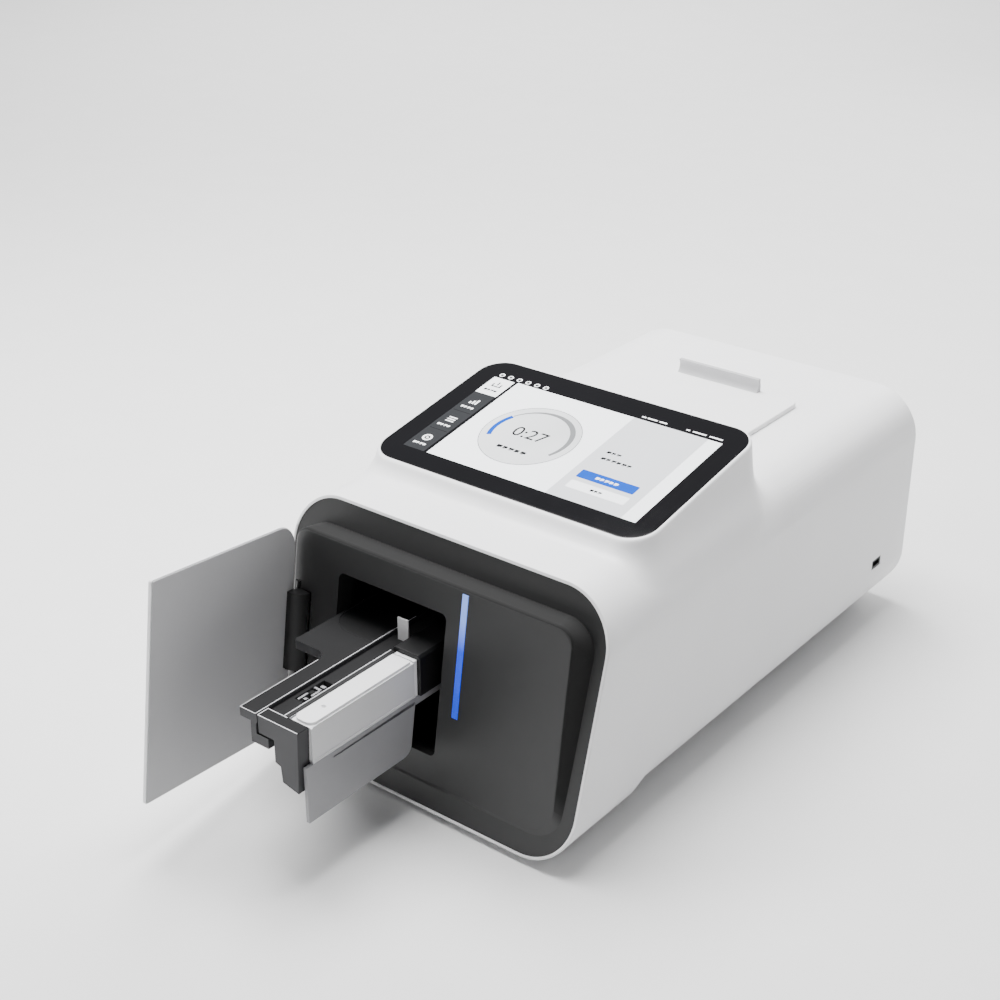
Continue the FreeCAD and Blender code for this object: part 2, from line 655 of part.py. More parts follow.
def cartridge_window():
    """Side cover of the cartridge, with a raised border."""
    y0 = DRAWER_FRONT + FRONT_T
    pane = box(CART_RIGHT - 1.0, CART_RIGHT, y0, CART_REAR, CART_LOW, CART_TOP - 0.8)
    ledge = box(CART_RIGHT, CART_RIGHT + 0.8, y0, CART_REAR, CART_LOW, CART_LOW + 2.0)
    post = box(CART_RIGHT, CART_RIGHT + 0.8, y0, y0 + 2.0, CART_LOW, CART_TOP - 0.8)
    return pane.fuse(ledge).fuse(post).removeSplitter()


def cartridge_cap():
    """Clear cap that closes the rear end of the cartridge."""
    return box(CART_LEFT, CART_RIGHT, CART_REAR + 0.1, CART_REAR + 3.0, CART_LOW, CART_TOP + 0.6)


def rear_block():
    """Black connector block that the cartridge plugs into."""
    block = box(CART_LEFT - 4.0, CART_RIGHT + 3.0, CART_REAR + 3.2, 60.0, CART_LOW, 133.5)
    edges = [e for e in block.Edges if e.BoundBox.YLength > 40 and e.BoundBox.ZMin > 130]
    return block.makeChamfer(2.0, edges)


def drawer_carriage():
    """Slide shoe on the rail, with the arm that carries the tray."""
    shoe = box(RAIL_X - RAIL_W / 2 - 4, RAIL_X + RAIL_W / 2 + 4, 72.0, TRAY_REAR - 2, DECK_Z + 4.0,
               DECK_Z + RAIL_H + 6.0)
    groove = box(RAIL_X - RAIL_W / 2 - SEAT, RAIL_X + RAIL_W / 2 + SEAT, 60.0, 120.0, DECK_Z,
                 DECK_Z + RAIL_H + SEAT)
    arm = box(RAIL_X - 8, RAIL_X + 8, 78.0, TRAY_REAR - 4, DECK_Z + RAIL_H + 5.0,
              TRAY_TOP - TRAY_LIP_T)
    return shoe.cut(groove).fuse(arm).removeSplitter()


def drive_screw():
    """Screw that the motor draws through itself without turning it."""
    return rod(SCREW_R, V(RAIL_X, TRAY_REAR - 4.0, SCREW_Z), Y_AXIS, 222.0)


def drive_motor():
    y0 = BAY_REAR + BAY_WALL
    half = 21.0
    body = box(RAIL_X - half, RAIL_X + half, y0, y0 + 34.0, SCREW_Z - half, SCREW_Z + half)
    body = body.makeChamfer(4.0, [e for e in body.Edges if e.BoundBox.YLength > 30])
    return body.cut(rod(SCREW_R + SEAT, V(RAIL_X, y0 - 1, SCREW_Z), Y_AXIS, 40.0))


def bay_deck():
    """Sheet that carries the bay, on four pillars on the base plate."""
    low = DECK_Z - BASE_T
    deck = box(BAY_LEFT - 8, BAY_RIGHT + 22, bay_front(DECK_Z), BAY_REAR + DECK_TAIL, low, DECK_Z)
    for x in (BAY_LEFT - PILLAR_R, BAY_RIGHT + 16):
        for y in (base_front() + 20, BAY_REAR + DECK_TAIL - 10):
            deck = deck.fuse(rod(PILLAR_R, V(x, y, base_top()), Z_AXIS, low - base_top()))
    return deck.removeSplitter()


def drawer_rail():
    return box(RAIL_X - RAIL_W / 2, RAIL_X + RAIL_W / 2, BAY_FRONT + 4, RAIL_END, DECK_Z,
               DECK_Z + RAIL_H)


def bay_side(x0):
    """Side sheet of the bay; its front edge leans back with the front."""
    corners = [(bay_front(DECK_Z), DECK_Z), (bay_front(ROOF_Z), ROOF_Z), (BAY_REAR, ROOF_Z),
               (BAY_REAR, DECK_Z)]
    return side_prism(corners, x0, x0 + BAY_WALL)


def bay_roof():
    roof = box(BAY_LEFT, BAY_RIGHT + BAY_WALL, bay_front(ROOF_Z + BAY_WALL), BAY_REAR, ROOF_Z,
               ROOF_Z + BAY_WALL)
    return roof.cut(rod(8.0, V(LENS_X, LENS_Y, ROOF_Z - 1), Z_AXIS, 5.0))


def bay_back():
    wall = box(BAY_LEFT, BAY_RIGHT + BAY_WALL, BAY_REAR, BAY_REAR + BAY_WALL, DECK_Z,
               ROOF_Z + BAY_WALL)
    return wall.cut(rod(SCREW_R + 1.0, V(RAIL_X, BAY_REAR - 1, SCREW_Z), Y_AXIS, 5.0))


def optics_module():
    z0 = ROOF_Z + BAY_WALL
    case = box(LENS_X - 35, LENS_X + 25, LENS_Y - 35, LENS_Y + 70, z0, z0 + 26.0)
    case = case.makeFillet(2.0, [e for e in case.Edges if e.BoundBox.ZLength > 20])
    return case.cut(rod(8.0, V(LENS_X, LENS_Y, z0 - 1), Z_AXIS, 12.0))


def optics_lens():
    z0 = ROOF_Z - 14.0
    barrel = rod(7.9, V(LENS_X, LENS_Y, z0), Z_AXIS, 27.0)
    return barrel.cut(rod(6.0, V(LENS_X, LENS_Y, z0 - 1), Z_AXIS, 3.0))


def heater_block():
    block = box(CART_RIGHT + 6.0, BAY_RIGHT, HEATER_FRONT, HEATER_REAR, CART_LOW, CART_TOP)
    y = HEATER_FRONT + 12.0
    while y < HEATER_REAR - 2.0:
        block = block.cut(rod(2.0, V(CART_RIGHT, y, CART_TOP - 8), X_AXIS, 14.0))
        y += 15.0
    return block


def heat_sink():
    x0 = BAY_RIGHT + BAY_WALL
    y0 = HEATER_FRONT - 5.0
    y1 = HEATER_REAR + 5.0
    low = CART_LOW - SINK_MARGIN
    high = CART_TOP + SINK_MARGIN
    sink = box(x0, x0 + 4.0, y0, y1, low, high)
    y = y0 + FIN_W
    while y + FIN_W <= y1:
        sink = sink.fuse(box(x0 + 3.5, x0 + FIN_H, y, y + FIN_W, low, high))
        y += FIN_W + FIN_GAP
    return sink.removeSplitter()


def base_plate():
    z0 = BODY_BOTTOM + WALL
    plate = box(-BASE_HALF, BASE_HALF, base_front(), BODY_DEPTH - 8, z0, z0 + BASE_T)
    for number in range(BASE_VENTS):
        y = BAY_REAR + DECK_TAIL - 2.0 + number * (VENT_W + VENT_GAP)
        plate = plate.cut(box(5.0 - BASE_HALF, VENT_END, y, y + VENT_W, z0 - 1, z0 + BASE_T + 1))
    return plate


def main_board():
    """Board on four pillars, with its larger components."""
    z0 = base_top()
    x0 = BAY_RIGHT + 24.0
    board = box(x0, BASE_HALF - 1, BOARD_FRONT, BOARD_REAR, z0 + 6.0, z0 + 7.6)
    for x in (x0 + 5, BASE_HALF - 6):
        for y in (BOARD_FRONT + 6.0, BOARD_REAR - 6.0):
            board = board.fuse(rod(3.0, V(x, y, z0), Z_AXIS, 6.2))
    for dx, dy, width, depth, height in ((8, 20, 28, 28, 4), (10, 60, 14, 24, 3),
                                         (30, 56, 14, 40, 9), (6, 96, 18, 18, 12),
                                         (8, 132, 36, 12, 9), (14, 158, 24, 16, 16)):
        y = BOARD_FRONT + dy
        board = board.fuse(box(x0 + dx, x0 + dx + width, y, y + depth, z0 + 7.5, z0 + 7.6 + height))
    return board.removeSplitter()


def power_supply():
    z0 = base_top()
    top = z0 + SUPPLY_H
    case = box(SUPPLY_LEFT, SUPPLY_RIGHT, SUPPLY_FRONT, SUPPLY_REAR, z0, top)
    y = SUPPLY_FRONT + 15.0
    while y + VENT_W < SUPPLY_REAR - 15.0:
        case = case.cut(box(SUPPLY_LEFT + 10.0, SUPPLY_RIGHT - 10.0, y, y + VENT_W, top - 1.2, top + 1.0))
        y += VENT_W + VENT_GAP
    return case


def display_panel():
    mid = GLASS_H / 2
    panel = box(-PANEL_ACTIVE_W / 2, PANEL_ACTIVE_W / 2, mid - PANEL_ACTIVE_H / 2,
                mid + PANEL_ACTIVE_H / 2, -GLASS_T - DISPLAY_T, -GLASS_T)
    return on_screen(panel)


def screen_glass():
    wire = rounded_wire(-GLASS_W / 2, GLASS_W / 2, 0, GLASS_H, GLASS_R - SEAM, level(-GLASS_T))
    glass = slab(wire, V(0, 0, GLASS_T + 0.2))
    top = [e for e in glass.Edges if e.BoundBox.ZMin > 0.1]
    return on_screen(glass.makeFillet(0.6, top))


def screen_tray():
    """Sheet metal tray that holds the display against the glass."""
    mid = GLASS_H / 2
    half_w = PANEL_ACTIVE_W / 2 + 3.0
    half_h = PANEL_ACTIVE_H / 2 + 3.0
    z0 = -GLASS_T - DISPLAY_T - 1.5
    tray = box(-half_w, half_w, mid - half_h, mid + half_h, z0, -GLASS_T - 0.5)
    hollow = box(-half_w + 2.5, half_w - 2.5, mid - half_h + 2.5, mid + half_h - 2.5, z0 + 1.5, 5)
    return on_screen(tray.cut(hollow))


def light_board():
    half = LIGHT_W / 2
    return on_pad(box(LIGHT_X - half, LIGHT_X + half, LIGHT_DEPTH, LIGHT_DEPTH + LED_BOARD_T,
                      LIGHT_LOW + LIGHT_W, LIGHT_HIGH))


def lid_nose_gap(x, wide):
    return box(x - wide / 2, x + wide / 2, LID_AXIS_Y - 4, LID_AXIS_Y + 3.5, BODY_TOP - 1,
               BODY_TOP + 10)


def service_lid():
    low = BODY_TOP + LID_GAP
    plate = slab(rounded_wire(-LID_HALF, LID_HALF, LID_AXIS_Y, LID_REAR, (0.3, 0.3, LID_R, LID_R),
                              level(low)), V(0, 0, LID_T))
    top = [e for e in plate.Edges if e.BoundBox.ZMin > low + LID_T - 0.1
           and e.BoundBox.YMax > LID_AXIS_Y + 5]
    plate = plate.makeFillet(1.2, top)
    nose = rod(LID_T / 2, V(-LID_HALF, LID_AXIS_Y, lid_axis_z()), X_AXIS, 2 * LID_HALF)
    lid = plate.fuse(nose)
    for x in (-LUG_X, LUG_X):
        lid = lid.cut(lid_nose_gap(x, LUG_W + 1.0))
    bore = rod(LID_PIN_R + PIN_FIT, V(-LID_HALF - 1, LID_AXIS_Y, lid_axis_z()), X_AXIS,
               2 * LID_HALF + 2)
    skirt = box(-BAY2_HALF + 1.5, BAY2_HALF - 1.5, BAY2_REAR - 4.5, BAY2_REAR - 1.5, low - 4, low + 1)
    return lid.cut(bore).fuse(skirt)


def lid_tab():
    """Pull tab along the rear edge of the lid, hollow towards the front."""
    low = BODY_TOP + LID_GAP + LID_T
    rear = LID_REAR - 1.0
    front = rear - TAB_FOOT
    foot = Part.LineSegment(V(0, rear, low), V(0, front, low)).toShape()
    face = Part.Arc(V(0, front, low), V(0, front + 3.2, low + TAB_H * 0.45),
                    V(0, front + 1.6, low + TAB_H)).toShape()
    crest = Part.LineSegment(V(0, front + 1.6, low + TAB_H), V(0, rear - 1.5, low + TAB_H)).toShape()
    back = Part.LineSegment(V(0, rear - 1.5, low + TAB_H), V(0, rear, low)).toShape()
    tab = slab(Part.Wire([foot, face, crest, back]), V(TAB_W, 0, 0))
    tab.translate(V(-TAB_W / 2 + 1.8, 0, 0))
    return tab


def lid_pin():
    return rod(LID_PIN_R, V(-LID_HALF + 1, LID_AXIS_Y, lid_axis_z()), X_AXIS, 2 * LID_HALF - 2)


def filter_tub():
    """Bay under the lid, for the air filter."""
    high = BODY_TOP - WALL
    tub = box(-BAY2_HALF - TUB_T, BAY2_HALF + TUB_T, BAY2_FRONT - TUB_T, BAY2_REAR + TUB_T,
              high - TUB_DEPTH, high)
    hollow = box(-BAY2_HALF, BAY2_HALF, BAY2_FRONT, BAY2_REAR, high - TUB_DEPTH + TUB_T, high + 1)
    tub = tub.cut(hollow)
    for x in range(-56, 57, 14):
        tub = tub.cut(box(x - 4, x + 4, BAY2_FRONT + 8, BAY2_REAR - 8, high - TUB_DEPTH - 1,
                          high - TUB_DEPTH + TUB_T + 1))
    return tub


def filter_cartridge():
    """Pleated filter in its frame."""
    high = BODY_TOP - WALL
    z0 = high - TUB_DEPTH + TUB_T
    gap = 1.0
    frame = box(-BAY2_HALF + gap, BAY2_HALF - gap, BAY2_FRONT + gap, BAY2_REAR - gap, z0, z0 + 26)
    pleats = frame
    pitch = 8.0
    x = -BAY2_HALF + 10.0
    while x < BAY2_HALF - 10.0:
        groove = Part.makePolygon([V(x - 3, BAY2_FRONT + 6, z0 + 27), V(x + 3, BAY2_FRONT + 6, z0 + 27),
                                   V(x, BAY2_FRONT + 6, z0 + 12), V(x - 3, BAY2_FRONT + 6, z0 + 27)])
        pleats = pleats.cut(slab(groove, V(0, BAY2_REAR - BAY2_FRONT - 12, 0)))
        x += pitch
    return pleats


def rear_panel():
    half = PANEL_WIDTH / 2 - SEAM
    y0 = BODY_DEPTH - 6.0
    wire = rounded_wire(-half, half, BODY_BOTTOM + WALL + SEAM, BODY_TOP - WALL - SEAM,
                        CORNER_R - WALL - SEAM, across(y0))
    panel = slab(wire, V(0, 2.5, 0))
    for ring in range(1, 5):
        outer = rod(ring * 9.0 + 1.8, V(FAN_X, y0 - 1, FAN_Z), Y_AXIS, 5)
        inner = rod(ring * 9.0 - 1.8, V(FAN_X, y0 - 2, FAN_Z), Y_AXIS, 7)
        spokes = box(FAN_X - 2, FAN_X + 2, y0 - 3, y0 + 5, FAN_Z - 45, FAN_Z + 45)
        spokes = spokes.fuse(box(FAN_X - 45, FAN_X + 45, y0 - 3, y0 + 5, FAN_Z - 2, FAN_Z + 2))
        panel = panel.cut(outer.cut(inner).cut(spokes))
    for number in range(8):
        z = 110.0 + number * 9.0
        panel = panel.cut(box(33.5 - PANEL_WIDTH / 2, -15, y0 - 1, y0 + 5, z, z + 3.5))
    panel = panel.cut(box(INLET_X - 14.2, INLET_X + 14.2, y0 - 1, y0 + 5, INLET_Z - 12.2, INLET_Z + 12.2))
    panel = panel.cut(box(SWITCH_X - 8.2, SWITCH_X + 8.2, y0 - 1, y0 + 5, INLET_Z - 11.2, INLET_Z + 11.2))
    return panel.cut(box(PORT_X - 22.2, PORT_X + 22.2, y0 - 1, y0 + 5, INLET_Z - 9.2, INLET_Z + 9.2))


def power_inlet():
    y1 = BODY_DEPTH - 2.0
    flange = box(INLET_X - 18, INLET_X + 18, y1 - 1.5, y1, INLET_Z - 15, INLET_Z + 15)
    body = box(INLET_X - 14, INLET_X + 14, y1 - 24, y1, INLET_Z - 12, INLET_Z + 12)
    recess = outline_prism([(INLET_X - 12, INLET_Z - 9), (INLET_X + 12, INLET_Z - 9),
                            (INLET_X + 12, INLET_Z + 3), (INLET_X + 6, INLET_Z + 9),
                            (INLET_X - 6, INLET_Z + 9), (INLET_X - 12, INLET_Z + 3)], y1 - 17, y1 + 1)
    inlet = flange.fuse(body).cut(recess)
    for dx, dz in ((-7, -1.0), (7, -1.0), (0, 3.0)):
        inlet = inlet.fuse(box(INLET_X + dx - 1, INLET_X + dx + 1, y1 - 18, y1 - 4, INLET_Z + dz - 2,
                               INLET_Z + dz + 2))
    return inlet.removeSplitter()


def switch_frame():
    y1 = BODY_DEPTH - 2.0
    flange = box(SWITCH_X - 10.5, SWITCH_X + 10.5, y1 - 1.5, y1, INLET_Z - 14, INLET_Z + 14)
    body = box(SWITCH_X - 8, SWITCH_X + 8, y1 - 18, y1, INLET_Z - 11, INLET_Z + 11)
    room = box(SWITCH_X - ROCKER_W / 2 - SEAT, SWITCH_X + ROCKER_W / 2 + SEAT, y1 - 13, y1 + 1,
               INLET_Z - ROCKER_R - 1.5, INLET_Z + ROCKER_R + 1.5)
    pin = rod(1.2, V(SWITCH_X - 8, y1 - 4, INLET_Z), X_AXIS, 16)
    return flange.fuse(body).cut(room).fuse(pin).removeSplitter()


def power_rocker():
    """Rocker: part of a drum on its pin, with two flat finger faces."""
    y_axis = BODY_DEPTH - 6.0
    x0 = SWITCH_X - ROCKER_W / 2
    drum = rod(ROCKER_R, V(x0, y_axis, INLET_Z), X_AXIS, ROCKER_W)
    reach = 2 * ROCKER_R
    cutter = box(x0 - 1, x0 + ROCKER_W + 1, y_axis + 4.5, y_axis + reach, INLET_Z - reach, INLET_Z)
    upper = cutter.copy()
    upper.translate(V(0, 0, reach))
    cutter.rotate(V(0, y_axis + 4.5, INLET_Z), X_AXIS, 12.0)
    upper.rotate(V(0, y_axis + 4.5, INLET_Z), X_AXIS, -12.0)
    rocker = drum.cut(cutter).cut(upper)
    rocker = rocker.cut(rod(1.2 + PIN_FIT, V(x0 - 1, y_axis, INLET_Z), X_AXIS, ROCKER_W + 2))
    rocker.rotate(V(0, y_axis, INLET_Z), X_AXIS, 8.0)
    return rocker


def data_ports():
    y1 = BODY_DEPTH - 3.0
    plate = box(PORT_X - 22, PORT_X + 22, y1 - 12, y1, INLET_Z - 9, INLET_Z + 9)
    for dx, width, height in ((-13, 13.0, 5.6), (3, 13.0, 5.6), (16, 8.0, 8.0)):
        plate = plate.cut(box(PORT_X + dx - width / 2, PORT_X + dx + width / 2, y1 - 3.5, y1 + 1,
                              INLET_Z - height / 2, INLET_Z + height / 2))
    return plate


def side_port():
    x1 = PANEL_WIDTH / 2 + WALL - 0.4
    port = box(x1 - 10, x1, SIDE_PORT_Y - SIDE_PORT_W / 2, SIDE_PORT_Y + SIDE_PORT_W / 2,
               SIDE_PORT_Z - SIDE_PORT_H / 2, SIDE_PORT_Z + SIDE_PORT_H / 2)
    slot = box(x1 - 3.5, x1 + 1, SIDE_PORT_Y - 6.0, SIDE_PORT_Y + 6.0, SIDE_PORT_Z - 2.3,
               SIDE_PORT_Z + 2.3)
    return port.cut(slot)


def fan_frame():
    y1 = BODY_DEPTH - 6.0
    half = FAN_SIZE / 2
    frame = box(FAN_X - half, FAN_X + half, y1 - FAN_T, y1, FAN_Z - half, FAN_Z + half)
    frame = frame.makeFillet(5.0, [e for e in frame.Edges if e.BoundBox.YLength > FAN_T - 1])
    frame = frame.cut(rod(half - 2.0, V(FAN_X, y1 - FAN_T - 1, FAN_Z), Y_AXIS, FAN_T + 2))
    hub = rod(14.0, V(FAN_X, y1 - FAN_T, FAN_Z), Y_AXIS, 3.0)
    shaft = rod(2.0, V(FAN_X, y1 - FAN_T, FAN_Z), Y_AXIS, 18.0)
    struts = box(FAN_X - half + 1, FAN_X + half - 1, y1 - FAN_T, y1 - FAN_T + 3, FAN_Z - 2, FAN_Z + 2)
    struts = struts.fuse(box(FAN_X - 2, FAN_X + 2, y1 - FAN_T, y1 - FAN_T + 3, FAN_Z - half + 1,
                             FAN_Z + half - 1))
    return frame.fuse(hub).fuse(shaft).fuse(struts).removeSplitter()


def fan_rotor():
    y1 = BODY_DEPTH - 6.0
    y0 = y1 - FAN_T + 4.0
    hub = rod(15.0, V(FAN_X, y0, FAN_Z), Y_AXIS, 18.0)
    rotor = hub.cut(rod(2.0 + PIN_FIT, V(FAN_X, y0 - 1, FAN_Z), Y_AXIS, 15.2))
    blades = 7
    for number in range(blades):
        blade = box(-0.8, 0.8, -7.0, 7.0, 14.0, FAN_SIZE / 2 - 3.5)
        blade.rotate(V(0, 0, 0), Z_AXIS, 35.0)
        blade.translate(V(0, y0 + 9.0, 0))
        blade.rotate(V(0, 0, 0), Y_AXIS, 360.0 / blades * number)
        blade.translate(V(FAN_X, 0, FAN_Z))
        rotor = rotor.fuse(blade)
    return rotor


def foot(x, y, under):
    pad = rod(FOOT_R, V(x, y, 0), Z_AXIS, under)
    rim = [e for e in pad.Edges if e.BoundBox.ZMax < 0.01]
    return pad.makeChamfer(FOOT_EDGE, rim)


def screw_heads(points, along):
    """Round heads of the screws that hold one cover."""
    return Part.makeCompound([rod(SCREW_HEAD_R, point, along, SCREW_HEAD_T) for point in points])


def base_screws():
    points = [V(side * (BASE_HALF - BASE_LIP / 2), y, BODY_BOTTOM) for side in (-1, 1)
              for y in (base_front() + 40.0, BODY_DEPTH - 220.0, BODY_DEPTH - 90.0)]
    return screw_heads(points, -Z_AXIS)


def rear_screws():
    edge = PANEL_WIDTH / 2 - 16.5
    points = [V(side * x, BODY_DEPTH - 3.5, z) for side in (-1, 1)
              for x, z in ((edge, 50.0), (edge, 170.0), (60.0, 198.0))]
    return screw_heads(points, Y_AXIS)


def label_plate():
    """Blank white plate on the face of the rear block."""
    y0 = 24.0
    return box(-26.0, -15.6, y0, y0 + 1.2, STRIP_TOP, STRIP_TOP + 19.0)


def build():
    pieces = {
        "main_housing": main_housing(),
        "front_bezel": front_bezel(),
        "light_bar": light_bar(),
        "light_board": light_board(),
        "screen_glass": screen_glass(),
        "display_panel": display_panel(),
        "screen_tray": screen_tray(),
        "base_plate": base_plate(),
        "rear_panel": rear_panel(),
        "bay_deck": bay_deck(),
        "bay_side_left": bay_side(BAY_LEFT),
        "bay_side_right": bay_side(BAY_RIGHT),
        "bay_roof": bay_roof(),
        "bay_back": bay_back(),
        "drawer_rail": drawer_rail(),
        "drive_motor": drive_motor(),
        "heater_block": heater_block(),
        "heat_sink": heat_sink(),
        "optics_module": optics_module(),
        "optics_lens": optics_lens(),
        "main_board": main_board(),
        "power_supply": power_supply(),
        "filter_tub": filter_tub(),
        "filter_cartridge": filter_cartridge(),
        "lid_hinge_pin": lid_pin(),
        "power_inlet": power_inlet(),
        "switch_frame": switch_frame(),
        "data_ports": data_ports(),
        "side_port": side_port(),
        "fan_frame": fan_frame(),
        "base_screws": base_screws(),
        "rear_screws": rear_screws(),
        "door_hinge_pin": hinge_pin(),
        "fan_rotor": fan_rotor(),
        "power_rocker": power_rocker(),
        "service_lid": service_lid(),
        "lid_tab": lid_tab(),
        "door_leaf": door_leaf(),
        "door_liner": door_liner(),
        "door_hinge_arm": hinge_arm(),
        "drawer_tray": drawer_tray(),
        "slide_plate": slide_plate(),
        "drawer_strip": drawer_strip(),
        "drawer_frame": drawer_frame(),
        "drawer_front": drawer_front(),
        "drawer_skirt": drawer_skirt(),
        "drawer_carriage": drawer_carriage(),
        "drive_screw": drive_screw(),
        "cartridge_body": cartridge_body(),
        "cartridge_cover": cartridge_cover(),
        "cartridge_window": cartridge_window(),
        "cartridge_cap": cartridge_cap(),
        "rear_block": rear_block(),
        "label_plate": label_plate(),
    }
    for side, x in (("left", -FOOT_X), ("right", FOOT_X)):
        pieces["foot_front_" + side] = foot(x, FOOT_FRONT_Y, COLLAR_BOTTOM)
        pieces["foot_rear_" + side] = foot(x, FOOT_REAR_Y, BODY_BOTTOM + WALL)
    return pieces


def export(pieces):
    os.makedirs("parts", exist_ok=True)
    low = V(1e9, 1e9, 1e9)
    high = V(-1e9, -1e9, -1e9)
    for shape in pieces.values():
        b = shape.optimalBoundingBox(False)
        low = V(min(low.x, b.XMin), min(low.y, b.YMin), min(low.z, b.ZMin))
        high = V(max(high.x, b.XMax), max(high.y, b.YMax), max(high.z, b.ZMax))
    shift = V(-(low.x + high.x) / 2, -(low.y + high.y) / 2, -low.z)
    print("size", [round(v, 3) for v in (high - low)], "shift", [round(v, 3) for v in shift])
    for name, shape in pieces.items():
        moved = shape.copy()
        moved.translate(shift)
        moved.exportStep("parts/" + name + ".step")


export(build())
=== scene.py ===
import json
import math

import bmesh
import bpy
import numpy as np
from mathutils import Matrix, Vector


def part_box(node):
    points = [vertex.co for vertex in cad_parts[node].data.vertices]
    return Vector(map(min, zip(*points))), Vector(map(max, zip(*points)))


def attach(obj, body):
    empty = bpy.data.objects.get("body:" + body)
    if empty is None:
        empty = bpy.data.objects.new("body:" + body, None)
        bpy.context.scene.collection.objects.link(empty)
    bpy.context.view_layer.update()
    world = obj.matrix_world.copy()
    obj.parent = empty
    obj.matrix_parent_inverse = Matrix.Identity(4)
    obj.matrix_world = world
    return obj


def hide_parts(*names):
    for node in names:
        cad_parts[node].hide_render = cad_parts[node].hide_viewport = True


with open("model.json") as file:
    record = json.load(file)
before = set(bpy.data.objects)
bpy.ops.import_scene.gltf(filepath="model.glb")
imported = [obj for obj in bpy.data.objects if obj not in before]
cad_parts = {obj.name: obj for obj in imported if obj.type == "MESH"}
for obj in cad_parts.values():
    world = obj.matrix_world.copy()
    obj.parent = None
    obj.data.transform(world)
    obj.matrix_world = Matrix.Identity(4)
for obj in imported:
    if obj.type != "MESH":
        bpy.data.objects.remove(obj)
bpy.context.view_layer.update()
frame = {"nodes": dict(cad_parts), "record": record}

MM = 0.001
BODY_DEPTH = 520.0
SHIFT_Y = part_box("main_housing")[1][1] / MM - BODY_DEPTH     # depth 0 is the foot of the front
SCREEN_POINT = (0.0, 111.1, 221.0)                # foot of the glass, in the plane of its rim
SCREEN_TILT = 9.93


def at(x, y, z):
    """A point of the part's source, in millimetres, as a point of the scene."""
    return Vector((x * MM, (y + SHIFT_Y) * MM, z * MM))


def turned(origin, degrees):
    """A frame at a point of the scene, tilted about X."""
    return Matrix.Translation(origin) @ Matrix.Rotation(math.radians(degrees), 4, "X")


SCREEN = turned(at(*SCREEN_POINT), SCREEN_TILT)   # X across, Y up the slope, Z out of the glass
SCREEN_TURN = np.array(SCREEN.to_3x3())
LEVEL = Matrix.Translation(at(0.0, 0.0, 0.0))


# Materials

NOISE_LOW, NOISE_HIGH = 0.3, 0.7                  # most of what a noise texture gives lies between
SHADE_WALL_LOW, SHADE_WALL_HIGH = 0.32, 0.6                   # how far a face turns before it counts as a wall and gets painted shade
PALE_LOW, PALE_HIGH = 140.0, 164.0                # heights where the light guide turns pale


def node_material(name):
    """An empty node material with a principled shader on its output."""
    mat = bpy.data.materials.new(name)
    mat.use_nodes = True
    nodes = mat.node_tree.nodes
    nodes.clear()
    out = nodes.new("ShaderNodeOutputMaterial")
    shader = nodes.new("ShaderNodeBsdfPrincipled")
    mat.node_tree.links.new(shader.outputs["BSDF"], out.inputs["Surface"])
    return mat, nodes, mat.node_tree.links, shader


def shader_of(mat):
    """The principled shader of a material made here."""
    return next(n for n in mat.node_tree.nodes if n.type == "BSDF_PRINCIPLED")


def noise(nodes, links, scale, detail=3.0, stretch=None):
    """Noise in the object's own coordinates, stretched where a brushed grain is wanted."""
    place = nodes.new("ShaderNodeTexCoord")
    texture = nodes.new("ShaderNodeTexNoise")
    texture.inputs["Scale"].default_value = scale
    texture.inputs["Detail"].default_value = detail
    if stretch is None:
        links.new(place.outputs["Object"], texture.inputs["Vector"])
    else:
        mapping = nodes.new("ShaderNodeMapping")
        mapping.inputs["Scale"].default_value = stretch
        links.new(place.outputs["Object"], mapping.inputs["Vector"])
        links.new(mapping.outputs["Vector"], texture.inputs["Vector"])
    return texture.outputs["Fac"]


def ramp(nodes, links, value, colors):
    """Turns a noise value into a colour between two."""
    node = nodes.new("ShaderNodeValToRGB")
    node.color_ramp.elements[0].position = NOISE_LOW
    node.color_ramp.elements[1].position = NOISE_HIGH
    for element, color in zip(node.color_ramp.elements, colors):
        element.color = (*color, 1.0)
    links.new(value, node.inputs["Fac"])
    return node.outputs["Color"]


def map_range(nodes, links, value, low, high):
    """Turns a noise value into a number between two."""
    node = nodes.new("ShaderNodeMapRange")
    node.inputs["From Min"].default_value = NOISE_LOW
    node.inputs["From Max"].default_value = NOISE_HIGH
    node.inputs["To Min"].default_value = low
    node.inputs["To Max"].default_value = high
    links.new(value, node.inputs["Value"])
    return node.outputs["Result"]


def surface(name, color, spread=0.04, rough=(0.4, 0.5), metal=0.0, grain=900.0, bump=0.05,
            bump_mm=0.05, cloud=14.0, stretch=None, coat=0.0, coat_rough=0.1, specular=0.5,
            glow=0.0):
    """Plastic or metal: faint colour drift, uneven gloss and a fine moulded or brushed grain."""
    mat, nodes, links, shader = node_material(name)
    drift = noise(nodes, links, cloud)
    light = tuple(min(1.0, c * (1 + spread)) for c in color)
    dark = tuple(c * (1 - spread) for c in color)
    links.new(ramp(nodes, links, drift, (dark, light)), shader.inputs["Base Color"])
    fine = noise(nodes, links, grain, 4.0, stretch)
    links.new(map_range(nodes, links, fine, *rough), shader.inputs["Roughness"])
    relief = nodes.new("ShaderNodeBump")
    relief.inputs["Strength"].default_value = bump
    relief.inputs["Distance"].default_value = bump_mm * MM
    links.new(fine, relief.inputs["Height"])
    links.new(relief.outputs["Normal"], shader.inputs["Normal"])
    shader.inputs["Metallic"].default_value = metal
    shader.inputs["Coat Weight"].default_value = coat
    shader.inputs["Coat Roughness"].default_value = coat_rough
    shader.inputs["Specular IOR Level"].default_value = specular
    if glow:
        links.new(ramp(nodes, links, drift, (dark, light)), shader.inputs["Emission Color"])
        shader.inputs["Emission Strength"].default_value = glow
    return mat


